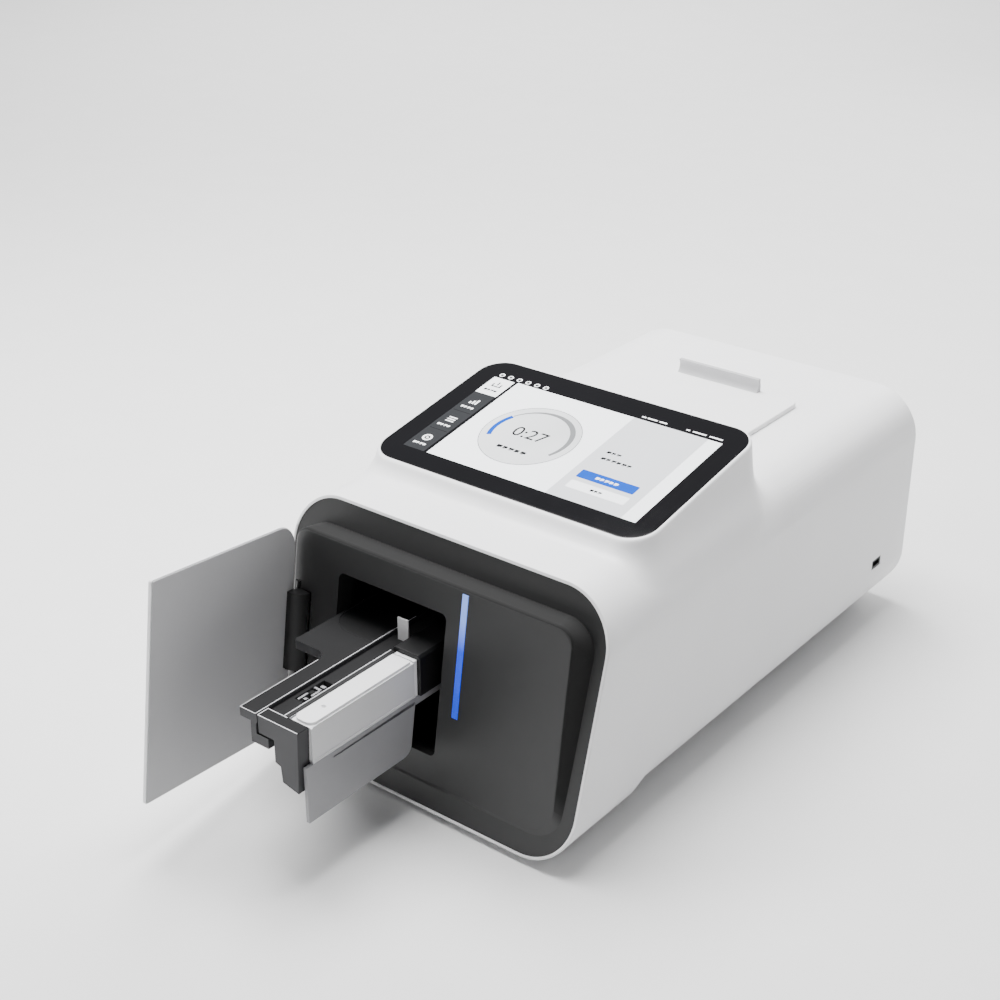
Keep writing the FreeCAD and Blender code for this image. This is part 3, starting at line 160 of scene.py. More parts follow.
def paint_wall_shade(mat, low_rough, high_rough, shade_share, axes="XZ"):
    """Paints shade on what faces along the axes given: makes it rougher and darker than what faces the
    front.
    """
    nodes, links = mat.node_tree.nodes, mat.node_tree.links
    shader = shader_of(mat)
    place = nodes.new("ShaderNodeTexCoord")
    split = nodes.new("ShaderNodeSeparateXYZ")
    links.new(place.outputs["Normal"], split.inputs["Vector"])
    reach = nodes.new("ShaderNodeMath")
    reach.operation = "MAXIMUM"
    for socket, axis in zip(reach.inputs, (axes[0], axes[-1])):
        links.new(split.outputs[axis], socket)
    shade_mask = nodes.new("ShaderNodeMapRange")
    shade_mask.inputs["From Min"].default_value = SHADE_WALL_LOW
    shade_mask.inputs["From Max"].default_value = SHADE_WALL_HIGH
    links.new(reach.outputs["Value"], shade_mask.inputs["Value"])
    rough = nodes.new("ShaderNodeMapRange")
    rough.inputs["To Min"].default_value = low_rough
    rough.inputs["To Max"].default_value = high_rough
    links.new(shade_mask.outputs["Result"], rough.inputs["Value"])
    links.new(rough.outputs["Result"], shader.inputs["Roughness"])
    # painted shade: the base colour is multiplied down on the walls
    shade = nodes.new("ShaderNodeMix")
    shade.data_type = "RGBA"
    shade.blend_type = "MULTIPLY"
    links.new(shade_mask.outputs["Result"], shade.inputs["Factor"])
    links.new(shader.inputs["Base Color"].links[0].from_socket, shade.inputs["A"])
    shade.inputs["B"].default_value = (shade_share, shade_share, shade_share, 1.0)
    links.new(shade.outputs["Result"], shader.inputs["Base Color"])


def paler_top(mat, low, high, color):
    """Fades a glowing material to another colour between two heights."""
    nodes, links = mat.node_tree.nodes, mat.node_tree.links
    shader = shader_of(mat)
    place = nodes.new("ShaderNodeTexCoord")
    split = nodes.new("ShaderNodeSeparateXYZ")
    links.new(place.outputs["Object"], split.inputs["Vector"])
    share = nodes.new("ShaderNodeMapRange")
    share.inputs["From Min"].default_value = low * MM
    share.inputs["From Max"].default_value = high * MM
    links.new(split.outputs["Z"], share.inputs["Value"])
    for socket in ("Base Color", "Emission Color"):
        fade = nodes.new("ShaderNodeMix")
        fade.data_type = "RGBA"
        links.new(share.outputs["Result"], fade.inputs["Factor"])
        links.new(shader.inputs[socket].links[0].from_socket, fade.inputs["A"])
        fade.inputs["B"].default_value = (*color, 1.0)
        links.new(fade.outputs["Result"], shader.inputs[socket])


white = surface("white_shell", (0.84, 0.84, 0.85), 0.012, (0.36, 0.42), grain=1400.0, bump=0.03)
dark = surface("dark_front", (0.011, 0.011, 0.0115), 0.05, (0.4, 0.5), grain=2600.0, bump=0.1,
               specular=0.55)
# painted shade: the pad's walls facing right and up made darker than its face, and rougher
paint_wall_shade(dark, 0.44, 0.95, 0.25)
glass_black = surface("screen_black", (0.004, 0.004, 0.005), 0.05, (0.07, 0.1), grain=60.0, bump=0.0,
                      specular=0.3)
door_grey = surface("door_grey", (0.44, 0.44, 0.45), 0.02, (0.38, 0.46), grain=1500.0, bump=0.04)
tray_grey = surface("tray_grey", (0.045, 0.045, 0.048), 0.08, (0.42, 0.52), grain=1800.0, bump=0.08,
                    specular=0.22)
# painted shade: the tray's upward faces made darker than its front, and rougher
paint_wall_shade(tray_grey, 0.46, 0.85, 0.22, "Z")
bright = surface("bright_metal", (0.72, 0.72, 0.74), 0.03, (0.22, 0.32), 1.0, 700.0, 0.06,
                 stretch=(1.0, 0.04, 1.0))
# painted highlight: light bars standing in for the shine along the drawer's edges
painted_highlight = surface("painted_highlight", (0.66, 0.66, 0.68), 0.03, (0.3, 0.4), 0.2, 700.0, 0.03)
steel = surface("steel", (0.55, 0.55, 0.57), 0.03, (0.25, 0.35), 1.0, 700.0, 0.05)
sheet_metal = surface("sheet_metal", (0.42, 0.42, 0.44), 0.05, (0.4, 0.5), 0.8, 300.0, 0.04)
black = surface("black_plastic", (0.005, 0.005, 0.0055), 0.08, (0.4, 0.5), grain=2000.0, bump=0.1,
                specular=0.3)
cart_white = surface("cartridge_white", (0.78, 0.78, 0.79), 0.012, (0.3, 0.36), grain=1500.0, bump=0.03)
cart_grey = surface("cartridge_grey", (0.60, 0.60, 0.61), 0.03, (0.3, 0.38), grain=1500.0, bump=0.03)
skirt_grey = surface("skirt_grey", (0.24, 0.24, 0.25), 0.04, (0.35, 0.42), grain=1500.0, bump=0.04)
board_green = surface("board_green", (0.03, 0.13, 0.08), 0.1, (0.3, 0.4), grain=300.0, bump=0.1)
rubber = surface("rubber", (0.02, 0.02, 0.02), 0.1, (0.7, 0.85), grain=1200.0, bump=0.2)
filter_white = surface("filter_white", (0.75, 0.74, 0.70), 0.05, (0.8, 0.9), grain=900.0, bump=0.3)
tab_grey = surface("tab_grey", (0.45, 0.45, 0.46), 0.02, (0.36, 0.44), grain=1500.0, bump=0.04)
light_blue = surface("light_blue", (0.02, 0.07, 0.80), 0.10, (0.2, 0.3), grain=900.0, bump=0.0, cloud=25.0,
                     specular=0.2, glow=0.55)
paler_top(light_blue, PALE_LOW, PALE_HIGH, (0.22, 0.36, 0.90))

SLOTS = {
    "white_shell": white, "dark_front": dark, "screen_black": glass_black, "door_grey": door_grey,
    "tray_grey": tray_grey, "bright_metal": bright, "steel": steel, "sheet_metal": sheet_metal,
    "black_plastic": black, "cartridge_white": cart_white, "cartridge_grey": cart_grey,
    "skirt_grey": skirt_grey, "board_green": board_green, "rubber": rubber,
    "filter_white": filter_white, "tab_grey": tab_grey, "light_blue": light_blue,
}
SHADED_INSIDE = ("bay_deck",)                      # sheet metal painted black as painted shade inside the bay
for part in frame["record"]["subparts"]:
    node = frame["nodes"][part["node"]]
    node.data.materials.clear()
    # the bay's deck gets black plastic as painted shade
    node.data.materials.append(black if part["node"] in SHADED_INSIDE else SLOTS[part["material_slot"]])


# Shapes

def add_piece(name, mesh, material, body, smooth=False):
    """A mesh as a piece that rides on a body, with its material."""
    piece = bpy.data.objects.new(name, mesh)
    bpy.context.collection.objects.link(piece)
    mesh.materials.append(material)
    for face in mesh.polygons:
        face.use_smooth = smooth
    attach(piece, body)
    return piece


def prism(bm, outline, low, high):
    """Closed thin solid over a flat outline."""
    bottom = [bm.verts.new((x, y, low)) for x, y in outline]
    top = [bm.verts.new((x, y, high)) for x, y in outline]
    bm.faces.new(list(reversed(bottom)))
    bm.faces.new(top)
    count = len(outline)
    for i in range(count):
        j = (i + 1) % count
        bm.faces.new((bottom[i], bottom[j], top[j], top[i]))


def band(bm, centre, inner, outer, start, stop, low, high, steps=64):
    """Closed ring or arc; inner and outer give the radius at an angle in degrees."""
    closed = abs(stop - start) >= 360.0
    rows = []
    for i in range(steps if closed else steps + 1):
        angle = start + (stop - start) * i / steps
        c, s = math.cos(math.radians(angle)), math.sin(math.radians(angle))
        corners = [(inner(angle), low), (outer(angle), low), (outer(angle), high), (inner(angle), high)]
        rows.append([bm.verts.new((centre[0] + r * c, centre[1] + r * s, z)) for r, z in corners])
    pairs = list(zip(rows, rows[1:])) + ([(rows[-1], rows[0])] if closed else [])
    for near, far in pairs:
        for k in range(4):
            bm.faces.new((near[k], near[(k + 1) % 4], far[(k + 1) % 4], far[k]))
    if not closed:
        bm.faces.new(rows[0])
        bm.faces.new(list(reversed(rows[-1])))


def place_mesh(bm, name, where):
    """Finish a mesh drawn in millimetres in the frame of the screen or of the part."""
    bmesh.ops.recalc_face_normals(bm, faces=bm.faces)
    bmesh.ops.transform(bm, matrix=where @ Matrix.Scale(MM, 4), verts=bm.verts)
    mesh = bpy.data.meshes.new(name)
    bm.to_mesh(mesh)
    bm.free()
    return mesh


def rectangle(x0, x1, y0, y1, radius=0.0, steps=5):
    """Outline of a rectangle, with round corners where a radius is given."""
    if radius == 0.0:
        return [(x0, y0), (x1, y0), (x1, y1), (x0, y1)]
    points = []
    for cx, cy, first in ((x1 - radius, y0 + radius, -90), (x1 - radius, y1 - radius, 0),
                          (x0 + radius, y1 - radius, 90), (x0 + radius, y0 + radius, 180)):
        for i in range(steps + 1):
            angle = math.radians(first + 90.0 * i / steps)
            points.append((cx + radius * math.cos(angle), cy + radius * math.sin(angle)))
    return points


# The housing, with soft blends where the raised screen meets it

HALF_WIDTH = 150.9
TOP_Z = 208.5
BODY_TALL = 300.0            # more than the housing, so that only its upper corners count
CORNER_R = 43.5
SKIN = 2.4                   # wall of the housing
AXIS_Z = 100.0               # height of the line that the skin is settled from

RIM_HALF = 131.75            # the rim around the glass, in the frame of the screen
RIM_LOW, RIM_HIGH = -2.4, 166.4
RIM_R = 24.4
RIM_EDGE = 2.2
RIM_STEPS = 14
RIM_PITCH = 5.0
SEAT_INSET = 2.25            # from the rim in to the seat of the glass
SEAT_DEPTH = 9.0
SLACK = 0.1

FRONT_FLARE = 0.62           # how far each wall runs out for each millimetre down
SIDE_FLARE = 0.13
REAR_FLARE = 0.03
CORNER_FLARE = 0.3
WALL_LEAN = 0.95             # a leaning wall is nearer than it measures across
WEDGE_BASE = 140.0

BLEND_SHARE = 0.85           # of how far the rim stands off the housing
BLEND_LEAST = 2.0
BLEND_MOST = 30.0
BLEND_REAR = 11.0            # small, to end ahead of the lid
REAR_FROM, REAR_TO = 255.0, 275.0                # depths between which the blend narrows
FADE_LOW, FADE_HIGH = 158.0, 200.0               # the blend dies out down the housing's side

PATCH_FRONT = 60.0           # the stretch of skin that is made anew
PATCH_REAR = 299.4
PATCH_SIDE_Z = 150.0         # how far down the sides it reaches
PATCH_TURN = math.atan2(HALF_WIDTH, PATCH_SIDE_Z - AXIS_Z)
PATCH_ROWS = 34
PATCH_GROWTH = 1.25          # rows are closer together by the rim
PATCH_MARGIN = 0.5
SIDE_REACH = 150.0           # from the axis to the patch's sides
SEAT_ROWS = (0.35, 0.7)      # rows between the seat and the rim

SETTLE_NEAR, SETTLE_FAR = 40.0, 320.0            # from the axis, inside and outside the form
SETTLE_STEPS = 34
FINE_EDGE = 4.5              # longest edge left in the wall under the patch
SPLIT_ROUNDS = 6
OUTWARD_LIFT = 1.5
CUT_SNAP = 0.0005
MERGE_SOLID = 0.005
MERGE_SKIN = 0.02
SHARP_EDGE = 32.0            # a sharper angle than this, in degrees, shows as an edge


def box_distance(x, y, x0, x1, y0, y1, radius):
    """Signed distance to a rounded rectangle in its own plane."""
    qx = np.abs(x - (x0 + x1) / 2) - (x1 - x0) / 2 + radius
    qy = np.abs(y - (y0 + y1) / 2) - (y1 - y0) / 2 + radius
    outside = np.hypot(np.maximum(qx, 0.0), np.maximum(qy, 0.0))
    return outside + np.minimum(np.maximum(qx, qy), 0.0) - radius


def body_distance(x, z):
    """Signed distance to the housing's section, without the wedge."""
    return box_distance(x, z, -HALF_WIDTH, HALF_WIDTH, TOP_Z - BODY_TALL, TOP_Z, CORNER_R)


def form_distance(points):
    """Signed distance to the housing with its wedge, joined by a soft blend."""
    x, y, z = points.T
    body = body_distance(x, z)
    a, b, c = ((points - SCREEN_POINT) @ SCREEN_TURN).T
    depth = np.maximum(-c, 0.0)
    side = RIM_HALF + SIDE_FLARE * depth
    low = RIM_LOW - FRONT_FLARE * depth
    high = RIM_HIGH + REAR_FLARE * depth
    middle = (low + high) / 2
    corner = RIM_R + CORNER_FLARE * depth
    wall = box_distance(a, b - middle, -side, side, (low - high) / 2, (high - low) / 2, corner)
    wall = wall * WALL_LEAN + RIM_EDGE
    roof = c + RIM_EDGE
    wedge = np.hypot(np.maximum(wall, 0.0), np.maximum(roof, 0.0))
    wedge = wedge + np.minimum(np.maximum(wall, roof), 0.0) - RIM_EDGE
    near_a = np.clip(a, -RIM_HALF, RIM_HALF)
    near_b = np.clip(b, RIM_LOW, RIM_HIGH)
    rim_z = SCREEN_POINT[2] + near_b * SCREEN_TURN[2, 1]
    inner_a = np.where(np.abs(a) > RIM_HALF - RIM_R, near_a, a)
    reach = body_distance(inner_a, rim_z)
    rear = np.clip((y - REAR_FROM) / (REAR_TO - REAR_FROM), 0.0, 1.0)
    most = BLEND_MOST + (BLEND_REAR - BLEND_MOST) * rear
    fade = np.clip((z - FADE_LOW) / (FADE_HIGH - FADE_LOW), 0.0, 1.0)
    blend = np.clip(BLEND_SHARE * reach, BLEND_LEAST, most) * fade * fade * (3.0 - 2.0 * fade) + SLACK
    share = np.maximum(blend - np.abs(body - wedge), 0.0) / blend
    return np.minimum(body, wedge) - share * share * blend / 4


def settle(points, level):
    """Moves points along rays from the housing's axis onto the form, or to a depth below it."""
    ray = points - (0.0, 0.0, AXIS_Z)
    ray[:, 1] = 0.0
    ray /= np.linalg.norm(ray, axis=1)[:, None]
    foot = points * (0.0, 1.0, 0.0) + (0.0, 0.0, AXIS_Z)
    near = np.full(len(points), SETTLE_NEAR)
    far = np.full(len(points), SETTLE_FAR)
    for _ in range(SETTLE_STEPS):
        middle = (near + far) / 2
        outside = form_distance(foot + ray * middle[:, None]) > level
        far = np.where(outside, middle, far)
        near = np.where(outside, near, middle)
    return foot + ray * near[:, None]


def rim_outline(inset):
    """The rim around the glass, as points of the housing, with evenly spaced points on its sides."""
    half = RIM_HALF - inset
    corners = rectangle(-half, half, RIM_LOW + inset, RIM_HIGH - inset, RIM_R - inset, RIM_STEPS)
    points = []
    for near, far in zip(corners, corners[1:] + corners[:1]):
        count = max(1, round(math.dist(near, far) / RIM_PITCH))
        for i in range(count):
            share = i / count
            along = [start + (end - start) * share for start, end in zip(near, far)]
            points.append((*along, 0.0))
    return np.array(points) @ SCREEN_TURN.T + SCREEN_POINT


def border_points(turn, depth):
    """Where rays from the middle of the patch, through its rim, meet the patch's border."""
    reach_turn = np.abs(turn) / PATCH_TURN
    middle = (PATCH_FRONT + PATCH_REAR) / 2
    half = (PATCH_REAR - PATCH_FRONT) / 2
    reach = np.maximum(reach_turn, np.abs(depth - middle) / half)
    out_turn = turn / reach
    out_depth = middle + (depth - middle) / reach
    for end_turn in (-PATCH_TURN, PATCH_TURN):
        for end_depth in (PATCH_FRONT, PATCH_REAR):
            gap = np.abs(out_turn - end_turn) / PATCH_TURN + np.abs(out_depth - end_depth) / half
            nearest = int(np.argmin(gap))
            out_turn[nearest] = end_turn
            out_depth[nearest] = end_depth
    return out_turn, out_depth


def settled_row(near_turn, near_depth, far_turn, far_depth, share):
    """A row of points on the form, a share of the way from one row to another."""
    turn = near_turn + (far_turn - near_turn) * share
    depth = near_depth + (far_depth - near_depth) * share
    aim = np.stack((np.sin(turn), depth, AXIS_Z + np.cos(turn)), axis=1)
    return settle(aim, 0.0)


def add_skin(bm):
    """A ring of fine faces from the seat of the glass over its rim and out to the patch's border."""
    seat = rim_outline(SEAT_INSET)
    rim = rim_outline(0.0)
    seat_turn = np.arctan2(seat[:, 0], seat[:, 2] - AXIS_Z)
    rim_turn = np.arctan2(rim[:, 0], rim[:, 2] - AXIS_Z)
    end_turn, end_depth = border_points(rim_turn, rim[:, 1])
    rows = [seat]
    for share in SEAT_ROWS:
        rows.append(settled_row(seat_turn, seat[:, 1], rim_turn, rim[:, 1], share))
    for i in range(PATCH_ROWS + 1):
        share = (i / PATCH_ROWS) ** PATCH_GROWTH
        rows.append(settled_row(rim_turn, rim[:, 1], end_turn, end_depth, share))
    rings = [[bm.verts.new(at(*point)) for point in row] for row in rows]
    count = len(seat)
    for near, far in zip(rings, rings[1:]):
        for i in range(count):
            j = (i + 1) % count
            bm.faces.new((near[j], near[i], far[i], far[j]))


def in_patch(x, y, z, margin):
    """Whether a point of the part lies within the patch, a margin off its border."""
    angle = abs(math.atan2(x, z - AXIS_Z))
    return PATCH_FRONT + margin < y < PATCH_REAR - margin and angle < PATCH_TURN - margin / SIDE_REACH


def inside_seat(point):
    """Whether a point of the scene belongs to the seat of the glass, which stays as it is."""
    local = SCREEN.inverted() @ point
    a, b, c = local.x / MM, local.y / MM, local.z / MM
    edge = box_distance(a, b, -RIM_HALF, RIM_HALF, RIM_LOW, RIM_HIGH, RIM_R)
    return edge < SLACK - SEAT_INSET and c > -SEAT_DEPTH


def in_part(point):
    """A point of the scene, as a point of the part's source in millimetres."""
    return point.x / MM, point.y / MM - SHIFT_Y, point.z / MM


def under_patch(vert):
    """Whether a vertex lies within the patch, above the wedge's foot and off the seat."""
    return (vert.co.z > WEDGE_BASE * MM and not inside_seat(vert.co)
            and in_patch(*in_part(vert.co), PATCH_MARGIN))


def remove_skin(bm):
    """Cuts the housing at the patch's border and takes out the outer skin within it."""
    side = Vector((math.cos(PATCH_TURN), 0.0, -math.sin(PATCH_TURN)))
    across = Vector((0, 1, 0))
    cuts = [(at(0, PATCH_FRONT, 0), across), (at(0, PATCH_REAR, 0), across),
            (at(0, 0, AXIS_Z), side), (at(0, 0, AXIS_Z), Vector((-side.x, 0.0, side.z)))]
    for point, normal in cuts:
        everything = bm.verts[:] + bm.edges[:] + bm.faces[:]
        bmesh.ops.bisect_plane(bm, geom=everything, plane_co=point, plane_no=normal, dist=CUT_SNAP * MM)
    bm.normal_update()
    gone = []
    for face in bm.faces:
        centre = face.calc_center_median()
        x, y, z = in_part(centre)
        if not in_patch(x, y, z, 0.0) or z < AXIS_Z or inside_seat(centre):
            continue
        if face.normal.dot(Vector((x, 0.0, (z - AXIS_Z) * OUTWARD_LIFT))) > 0.0:
            gone.append(face)
    bmesh.ops.delete(bm, geom=gone, context="FACES")


def sink_inner_skin(bm):
    """Keeps the inside of the wall below the new outer skin."""
    for _ in range(SPLIT_ROUNDS):
        long_edges = [e for e in bm.edges if e.calc_length() > FINE_EDGE * MM]
        edges = [e for e in long_edges if any(under_patch(v) for v in e.verts)]
        if not edges:
            break
        bmesh.ops.subdivide_edges(bm, edges=edges, cuts=1)
        bmesh.ops.triangulate(bm, faces=[f for f in bm.faces if len(f.verts) > 3])
    verts = [v for v in bm.verts if under_patch(v)]
    points = np.array([in_part(v.co) for v in verts])
    too_high = form_distance(points) > SLACK - SKIN
    settled = settle(points, -SKIN)
    for vert, moves, point in zip(verts, too_high, settled):
        if moves:
            vert.co = at(*point)


def make_housing():
    """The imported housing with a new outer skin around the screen."""
    bm = bmesh.new()
    bm.from_mesh(frame["nodes"]["main_housing"].data)
    bmesh.ops.remove_doubles(bm, verts=bm.verts, dist=MERGE_SOLID * MM)
    remove_skin(bm)
    sink_inner_skin(bm)
    add_skin(bm)
    bmesh.ops.remove_doubles(bm, verts=bm.verts, dist=MERGE_SKIN * MM)
    mesh = bpy.data.meshes.new("housing_shell")
    bm.to_mesh(mesh)
    bm.free()
    piece = add_piece("housing_shell", mesh, white, "chassis", smooth=True)
    mesh.set_sharp_from_angle(angle=math.radians(SHARP_EDGE))
    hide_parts("main_housing")


make_housing()


# What the screen shows: layers just above the glass

GLASS_TOP = 0.2
LAYER = 0.07
LAYER_GAP = 0.01


def layer(name, outlines, level, material, rings=()):
    """One layer of the display; outlines are flat shapes and rings are arguments of band."""
    bm = bmesh.new()
    low = GLASS_TOP + LAYER * (level - 1) + LAYER_GAP
    high = GLASS_TOP + LAYER * level
    for outline in outlines:
        prism(bm, outline, low, high)
    for ring in rings:
        band(bm, *ring, low, high)
    mesh = place_mesh(bm, name, SCREEN)
    return add_piece(name, mesh, material, "chassis")


def lit(name, color, glow, spread=0.02):
    """Lit part of the display behind polished glass."""
    return surface(name, color, spread, (0.1, 0.16), grain=200.0, bump=0.0, cloud=9.0, specular=0.2,
                   glow=glow)


def words(x0, x1, v0, v1, count):
    """A row of small blocks where the display has a few words."""
    pitch = (x1 - x0) / count
    blocks = []
    for i in range(count):
        left = x0 + pitch * i
        right = left + pitch * (0.80 - 0.12 * (i % 2))
        blocks.append(rectangle(left, right, v0 + 0.25 * (i % 3), v1))
        blocks.append(rectangle(left, right - pitch * 0.3, v0 - 0.5, v0 - 0.1))
    return blocks


def flat(radius):
    """A radius for band that is the same all the way round."""
    return lambda angle: radius


MENU_X = (-110.5, -89.2)     # places on the screen, X across and V up its slope
MENU_V = (19.8, 138.7)
MENU_PITCH = 30.5
MENU_TABS = 4
SIGN_TOP_V = 128.9
OPEN_TAB = 26.4
PAGE_X = (-86.3, 111.3)
PAGE_V = (20.0, 139.6)
PANEL_X = (30.0, 98.5)
DIAL = (-27.8, 78.2)
DIAL_R = 41.2
RING_R = 34.0
CLOCK_PLACE = (-28.6, 73.2)
CLOCK_SIZE = 18.5
STATUS_V = 143.7
STATUS_DOTS = 6
STATUS_FIRST, STATUS_PITCH = -106.1, 9.1
STATUS_BARS = ((34.5, 4.0), (40.0, 9.0), (51.0, 7.0), (76.0, 3.0), (82.0, 12.0), (97.0, 11.8))

page_white = lit("page_white", (0.80, 0.82, 0.84), 0.85)
page_grey = lit("page_grey", (0.50, 0.51, 0.53), 0.8)
dial_face = lit("dial_face", (0.52, 0.53, 0.54), 0.85, 0.12)
menu_grey = lit("menu_grey", (0.022, 0.023, 0.025), 0.5)
ink = lit("display_ink", (0.01, 0.01, 0.012), 0.2)
dial_grey = lit("dial_grey", (0.16, 0.165, 0.17), 0.6)
display_blue = lit("display_blue", (0.0, 0.055, 0.38), 0.45)
lamp_white = lit("display_lamp", (0.8, 0.81, 0.82), 1.0)


def menu_icon(kind, cx, cy):
    """Plain pictures for the four tabs: a tray, a chart, a list and the block inside a disc."""
    if kind == 0:
        blocks = [(-4.5, 4.5, -3.5, -2.3), (-4.5, -3.3, -2.3, 1.2),
                  (3.3, 4.5, -2.3, 1.2), (-0.6, 0.6, -0.8, 4.0)]
    elif kind == 1:
        blocks = [(-4.2 + 2.9 * i, -2.4 + 2.9 * i, -3.6, -0.6 + 2.0 * i) for i in range(3)]
    elif kind == 2:
        blocks = [(-4.0, 4.0, -3.5 + 2.8 * i, -2.1 + 2.8 * i) for i in range(3)]
    else:
        blocks = [(-1.0, 1.0, -1.0, 1.0)]
    return [rectangle(cx + x0, cx + x1, cy + y0, cy + y1) for x0, x1, y0, y1 in blocks]


def make_menu():
    """The column of tabs on the left, with the open tab in the page's white."""
    tab_foot = MENU_V[1] - OPEN_TAB
    layer("menu", [rectangle(*MENU_X, MENU_V[0], tab_foot - 0.5)], 1, menu_grey)
    layer("menu_open_tab", [rectangle(*MENU_X, tab_foot, MENU_V[1])], 1, page_white)


def make_menu_signs():
    """A picture and a row of word blocks on each tab, and the lines between tabs."""
    centre = (MENU_X[0] + MENU_X[1]) / 2
    for number in range(MENU_TABS):
        v = SIGN_TOP_V - MENU_PITCH * number
        last = number == MENU_TABS - 1
        discs = [((centre, v), flat(2.6), flat(4.4), 0.0, 360.0)] if last else []
        label = words(centre - 6.6, centre + 6.8, v - 10.4, v - 8.3, 4)
        color = ink if number == 0 else lamp_white
        layer("menu_sign_%d" % number, menu_icon(number, centre, v) + label, 2, color, discs)
    lines = []
    for number in (1, 2):
        v = MENU_V[1] - OPEN_TAB - 0.6 - MENU_PITCH * number
        lines.append(rectangle(MENU_X[0] + 2, MENU_X[1] - 2, v, v + 0.4))
    layer("menu_lines", lines, 2, ink)


def dial_width(angle):
    """Width of the dial's ring, widest towards the upper right."""
    return 1.0 + 3.4 * max(0.0, math.cos(math.radians((angle - 39.0) * 0.8))) ** 2


def make_status_row():
    """Dots and bars on the glass above the page."""
    dots = [((STATUS_FIRST + STATUS_PITCH * i, STATUS_V), flat(1.5), flat(2.5), 0.0, 360.0)
            for i in range(STATUS_DOTS)]
    layer("status_dots", [], 1, lamp_white, dots)
    bars = [rectangle(x, x + width, STATUS_V - 0.7, STATUS_V + 0.9) for x, width in STATUS_BARS]
    layer("status_bars", bars, 1, lamp_white)


def make_dial():
    """The round dial with its thin edge, its swelling ring and the blue arc."""
    x, v = DIAL
    disc = rectangle(x - DIAL_R, x + DIAL_R, v - DIAL_R, v + DIAL_R, DIAL_R, 24)
    layer("dial_face", [disc], 2, dial_face)
    edge = (DIAL, flat(DIAL_R), flat(DIAL_R + 0.5), 0.0, 360.0)
    swelling = (DIAL, lambda angle: RING_R - dial_width(angle) / 2,
                lambda angle: RING_R + dial_width(angle) / 2, -28.0, 150.0)
    layer("dial_rings", [], 3, dial_grey, [edge, swelling])
    layer("dial_arc", [], 3, display_blue, [(DIAL, flat(32.0), flat(35.8), 151.0, 204.0)])
    layer("dial_words", words(-42.6, -13.9, 53.8, 56.8, 5), 3, ink)


def make_side_panel():
    """Word blocks and two buttons on the grey panel to the right."""
    layer("panel_words", words(39.8, 53.4, 87.0, 89.2, 3) + words(40.6, 69.5, 77.8, 80.2, 6), 3, ink)
    layer("button_blue", [rectangle(37.5, 89.5, 48.7, 59.4, 1.0)], 3, display_blue)
    layer("button_white", [rectangle(38.0, 91.0, 34.0, 44.0, 1.0)], 3, page_white)
    layer("button_blue_word", words(53.0, 74.0, 52.9, 55.3, 5), 4, lamp_white)
    layer("button_white_word", words(58.5, 69.4, 37.6, 39.8, 3), 4, ink)


def make_clock():
    """A plain clock reading in the middle of the dial."""
    clock = bpy.data.curves.new("clock", "FONT")
    clock.body = "0:27"
    clock.align_x = "CENTER"
    clock.size = CLOCK_SIZE * MM
    clock.extrude = 0.02 * MM
    text = bpy.data.objects.new("dial_clock", clock)
    bpy.context.collection.objects.link(text)
    clock.materials.append(ink)
    place = Vector((*CLOCK_PLACE, GLASS_TOP + 2.6 * LAYER))
    text.matrix_world = SCREEN @ Matrix.Translation(place * MM)
    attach(text, "chassis")


layer("page", [rectangle(*PAGE_X, *PAGE_V)], 1, page_white)
make_menu()
layer("side_panel", [rectangle(*PANEL_X, *PAGE_V)], 2, page_grey)
make_menu_signs()
make_status_row()
make_dial()
make_side_panel()
make_clock()


# Edges and small details of the drawer

SOFT_EDGES = {
    "drawer_tray": 0.5, "drawer_front": 0.6, "drawer_skirt": 0.5, "drawer_frame": 0.3,
    "rear_block": 0.5, "cartridge_window": 0.3, "label_plate": 0.2,
}
WELD = 0.01
SOFT_ANGLE = 40.0            # edges sharper than this are rounded
TRAY_TOP = 129.2
DRAWER_FRONT = -115.8
BLOCK_FRONT = 6.0
# height of the painted highlight bars and the painted slit shade above the tray
PAINTED_BAR_RISE = 0.3
DIMPLE_BACK = 22.0
DIMPLE_R = (0.4, 1.7)
DIMPLE_RISE = (-0.3, 0.04)   # from under the cover's top to just above it


def soft_edges(node, width):
    """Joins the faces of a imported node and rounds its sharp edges."""
    piece = frame["nodes"][node]
    weld = piece.modifiers.new("weld", "WELD")
    weld.merge_threshold = WELD * MM
    bevel = piece.modifiers.new("bevel", "BEVEL")
    bevel.width = width * MM
    bevel.segments = 2
    bevel.limit_method = "ANGLE"
    bevel.angle_limit = math.radians(SOFT_ANGLE)
    bevel.harden_normals = True


def boxes(name, blocks, material, body):
    """Several small bars, each given by its low and high corner in the source's frame."""
    bm = bmesh.new()
    for low, high in blocks:
        prism(bm, rectangle(low[0], high[0], low[1], high[1]), low[2], high[2])
    bmesh.ops.bevel(bm, geom=bm.edges[:], offset=0.12, segments=1, affect="EDGES")
    return add_piece(name, place_mesh(bm, name, LEVEL), material, body)


